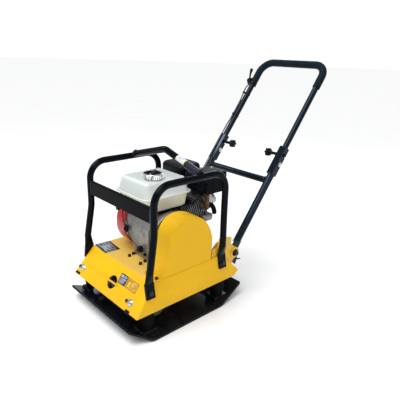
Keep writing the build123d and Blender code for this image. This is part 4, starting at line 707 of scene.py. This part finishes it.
dY = (arch_pt(0.13) - arch_pt(0.07)).normalized()
mat = blocks("arch_sticker_face", (0.74, 0.70, 0.22), arch_pt(0.103), dY, Vector((1, 0, 0)), [
    (-0.0205, 0.0205, -0.0134, 0.0160, (0.66, 0.68, 0.74)),
    (-0.016, 0.002, 0.0085, 0.0105, (0.30, 0.32, 0.45)), (-0.016, 0.012, 0.0040, 0.0058, (0.30, 0.32, 0.45)),
    (-0.006, 0.014, -0.0010, 0.0008, (0.30, 0.32, 0.45)), (-0.016, 0.006, -0.0060, -0.0045, (0.30, 0.32, 0.45))])
wrap("arch_sticker", 0.079, 0.127, 0.01405, 0.0004, -75, 100, mat, n=16, m=24)
wrap("arch_sleeve", 0.131, 0.1985, 0.01405, 0.0011, 0, 360, "sleeve", n=18, m=36)
for sy in (1, -1):
    p = arch_pt(sy * 0.202)
    d = (arch_pt(sy * 0.205) - arch_pt(sy * 0.18)).normalized()
    weld_ring("arch_weld_%s" % ("left" if sy > 0 else "right"), p, d, 0.0152, 0.0023, "weld", "root")
for x0, x1 in ((0.180, 0.180),):
    for sy in (1, -1):
        for k, z in enumerate((0.4465, 0.5018)):
            weld_line("bar_weld_%d_%d" % (sy > 0, k), mm(184.5, sy * 201.0, z * 1000) , mm(172, sy * 199.5, z * 1000), 0.0018,
                      "weld", "root")
        weld_line("bar_weld_v_%d" % (sy > 0), mm(186.0, sy * 200.6, 448), mm(186.0, sy * 200.6, 500), 0.0020,
                  "weld", "root")
# handle cross tube and ears
for sy in (1, -1):
    sd = "left" if sy > 0 else "right"
    weld_ring("cross_weld_" + sd, H(352, sy * 170.6), (0, 1, 0), 0.0156, 0.0021, "weld", "lower_handle")
    weld_ring("ear_weld_" + sd, H(45.0, sy * 186), (UX, 0, UZ), 0.0164, 0.0020, "weld", "lower_handle")
    weld_ring("fork_weld_" + sd, H(383.5, sy * 186), (UX, 0, UZ), 0.0163, 0.0019, "weld", "lower_handle")


# ------------------------------------------------------------------
# deck corners, cable wrap, wires and hose
# ------------------------------------------------------------------
# dark sheets on the deck front corners: painted shade standing in for the slot openings
plate("corner_slot_shadow_left", on_front(165, 109.0, 0.05), FN, (0, 1, 0), 0.026, 0.0140, 0.0006, 0.0015, "dark", "root")
plate("corner_slot_shadow_right", on_front(-207, 113.6, 0.05), FN, (0, 1, 0), 0.032, 0.0100, 0.0006, 0.0015, "dark", "root")

CYL = -192.0
wp = [H(s, CYL, 17.5) for s in [615 + 1.0 * k for k in range(109)]]
vs, fs = sweep(wp, lambda i, a: 0.0031 + 0.0009 * (0.5 + 0.5 * math.sin(i * 2 * math.pi / 5.0 + a)) ** 1.5, 14)
make("cable_wrap", vs, fs, "sheath_gloss", "upper_handle")

def filleted(pts, radii, step=0.003):
    """A polyline with round corners, as even points."""
    out = [pts[0]]
    for i in range(1, len(pts) - 1):
        a, b, c = pts[i - 1], pts[i], pts[i + 1]
        u, v = (a - b).normalized(), (c - b).normalized()
        ang = u.angle(v)
        d = radii[i - 1] / math.tan(ang / 2)
        p, q = b + u * d, b + v * d
        ctr = b + (u + v).normalized() * (radii[i - 1] / math.sin(ang / 2))
        out.append(p)
        for k in range(1, 9):
            m = p.lerp(q, k / 9)
            out.append(ctr + (m - ctr).normalized() * radii[i - 1])
        out.append(q)
    out.append(pts[-1])
    fine = [out[0]]
    for a, b in zip(out, out[1:]):
        n = max(1, round((b - a).length / step))
        fine += [a.lerp(b, k / n) for k in range(1, n + 1)]
    return fine


def sheathed(name, path, r, node):
    vs, fs = sweep(path, lambda i, q: r - (0.00018 if i % 2 else 0.0), 16)
    me = bpy.data.meshes.new(name)
    me.from_pydata([tuple(v) for v in vs], [], fs)
    for p in me.polygons:
        p.use_smooth = True
    me.materials.append(M["sheath_gloss"])
    o = bpy.data.objects.new(name, me)
    scene.collection.objects.link(o)
    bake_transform(o)
    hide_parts(node)
    return o


K0 = H(330, CYL, 21.5)
UDV = Vector((UX, 0, UZ))
kp = [K0, K0 - UDV * 0.038, mm(-370, -184, 418), mm(-306, -160, 414), mm(-262, -100, 429), mm(-218.7, -73, 414.7)]
sheathed("cable_engine_line", filleted(kp, [0.040, 0.060, 0.060, 0.040]), 0.003, "cable_engine")
fp = [H(545, CYL, 21.5).lerp(H(330, CYL, 21.5), k / 108) for k in range(109)]
sheathed("cable_fold_line", fp, 0.003, "cable_fold")

def soft_box(name, x0, x1, y0, y1, z0, z1, mat, body, r=0.006):
    """A closed box with rounded edges, millimetres in."""
    a, b = mm(x0, y0, z0), mm(x1, y1, z1)
    vs = [(x, y, z) for x in (a.x, b.x) for y in (a.y, b.y) for z in (a.z, b.z)]
    fs = [(0, 1, 3, 2), (4, 6, 7, 5), (0, 4, 5, 1), (2, 3, 7, 6), (0, 2, 6, 4), (1, 5, 7, 3)]
    return make(name, vs, fs, mat, body, smooth=True, bevel=r)


soft_box("muffler_underplate", -297, -170, -3, 105, 456.5, 459.0, "muffler", "root", r=0.0008)
soft_box("head_cowl", -250, -190, 24, 78, 314, 347, "alu", "root", r=0.012)
# the exciter neck takes the lightened enamel: painted light
NECK = [mm(190, -128, 38).lerp(mm(240, -112, 60), k / 24) for k in range(25)]
vs, fs = sweep(NECK, lambda i, a: 0.0192 * (1.0 if i < 17 else math.sqrt(max(0.02, 1 - ((i - 17) / 7.2) ** 2))), 24)
make("exciter_neck", vs, fs, "neck", "root")
tube("breather_tube", [mm(-226, 62, 388), mm(-241, 68, 384), mm(-254, 69, 368), mm(-262, 67, 352), mm(-266, 65, 340)],
     0.0105, "rubber", "root")

tube("wire_switch", [mm(105, -74, 331), mm(110, -86, 350), mm(104, -100, 372), mm(88, -120, 396), mm(64, -126, 414)],
     0.0021, "hose", "root")
tube("wire_switch_b", [mm(105, -66, 331), mm(109, -60, 350), mm(104, -76, 372), mm(92, -96, 388), mm(66, -104, 410)],
     0.0019, "hose", "root")
tube("wire_oil", [mm(103, -66, 306), mm(106, -40, 286), mm(104, -10, 268), mm(99, 24, 246)],
     0.0018, "hose", "root")
tube("fuel_hose", [mm(-96, -70, 427), mm(-100, -76, 412), mm(-120, -86, 396), mm(-150, -92, 386), mm(-172, -86, 380)],
     0.0044, "hose", "root")
tube("governor_rod", [mm(-186, -62, 424), mm(-160, -60, 427), mm(-132, -58, 424), mm(-104, -56, 402)],
     0.0012, "steel", "root")
# recoil cover screws
for k, a in enumerate((38, 142, 218, 322)):
    a = math.radians(a)
    c = mm(86.5 * math.cos(a), -162.2, 320.5 + 86.5 * math.sin(a))
    lathe("recoil_screw_%d" % k, c, (0, -1, 0), [(0, 0.0046), (0.0022, 0.0046), (0.0034, 0.0034), (0.0036, 0.0018),
                                                (0.0026, 0.0012)], "zinc", "root", seg=20)

# ------------------------------------------------------------------
# camera, floor, light
# ------------------------------------------------------------------
cam_data = bpy.data.cameras.new("photo_camera")
cam = bpy.data.objects.new("photo_camera", cam_data)
scene.collection.objects.link(cam)
yaw, pitch, roll = math.radians(226.522), math.radians(-19.240), math.radians(1.870)
F = Vector((math.cos(pitch) * math.cos(yaw), math.cos(pitch) * math.sin(yaw), math.sin(pitch)))
R = F.cross(Vector((0, 0, 1))).normalized()
U = R.cross(F)
R2 = R * math.cos(roll) + U * math.sin(roll)
U2 = U * math.cos(roll) - R * math.sin(roll)
rot = Matrix((R2, U2, -F)).transposed()
cam.matrix_world = Matrix.Translation(Vector((1.00264, 1.30810, 1.01697))) @ rot.to_4x4()
cam_data.lens = 38.496
cam_data.sensor_width = 36.0
cam_data.clip_start = 0.01
cam_data.clip_end = 200
scene.camera = cam

fl = Net("pale_floor")
fn = fl.noise(3.0, 4, 0.5)
fl.put(fl.b.inputs["Base Color"], fl.mix(fl.span(fn, 0.3, 0.7), (0.93, 0.93, 0.935), (0.95, 0.95, 0.95)))
fl.b.inputs["Roughness"].default_value = 0.9
fl.b.inputs["Specular IOR Level"].default_value = 0.1
bm = bmesh.new()
bmesh.ops.create_circle(bm, cap_ends=True, cap_tris=False, segments=96, radius=40)
fme = bpy.data.meshes.new("floor")
bm.to_mesh(fme)
bm.free()
floor = bpy.data.objects.new("floor", fme)
scene.collection.objects.link(floor)
floor.location = (0, 0, -0.0006)
fme.materials.append(fl.m)

world = bpy.data.worlds.new("studio")
scene.world = world
world.use_nodes = True
wt = world.node_tree
bg = wt.nodes["Background"]
bg.inputs[0].default_value = (0.94, 0.97, 1.0, 1)
lp = wt.nodes.new("ShaderNodeLightPath")
wm = wt.nodes.new("ShaderNodeMapRange")
wm.inputs[3].default_value = 0.44
wm.inputs[4].default_value = 1.10
wt.links.new(lp.outputs["Is Camera Ray"], wm.inputs[0])
wt.links.new(wm.outputs[0], bg.inputs[1])


def area(name, loc, target, size, energy, colour=(1, 1, 1)):
    L = bpy.data.lights.new(name, "AREA")
    L.shape = "RECTANGLE"
    L.size, L.size_y = size
    L.energy = energy
    L.color = colour
    o = bpy.data.objects.new(name, L)
    scene.collection.objects.link(o)
    o.location = loc
    o.rotation_euler = (Vector(target) - Vector(loc)).to_track_quat("-Z", "Y").to_euler()
    return o


sun_d = bpy.data.lights.new("key_sun", "SUN")
sun_d.energy = 2.10
sun_d.angle = math.radians(48)
sun_d.color = (1.0, 0.985, 0.96)
sun = bpy.data.objects.new("key_sun", sun_d)
scene.collection.objects.link(sun)
sun.rotation_euler = Vector((-0.42, 0.02, -1.0)).to_track_quat("-Z", "Y").to_euler()
area("key_top", (1.2, 0.4, 2.6), (0, 0, 0.3), (0.9, 0.9), 12, (1.0, 0.985, 0.96))
area("side_left", (0.1, 3.2, 1.7), (0, 0, 0.3), (1.4, 0.9), 14, (0.97, 0.985, 1.0))
area("front_right", (3.0, -1.4, 1.6), (0, 0, 0.3), (1.0, 1.0), 8, (0.90, 0.95, 1.0))
area("rear_rim", (-2.6, -1.6, 1.8), (0, 0, 0.4), (1.0, 1.0), 14, (0.92, 0.96, 1.0))
area("glint", (0.30, -1.55, 1.95), (0.05, 0, 0.4), (0.24, 0.24), 3.5, (0.80, 0.90, 1.0))
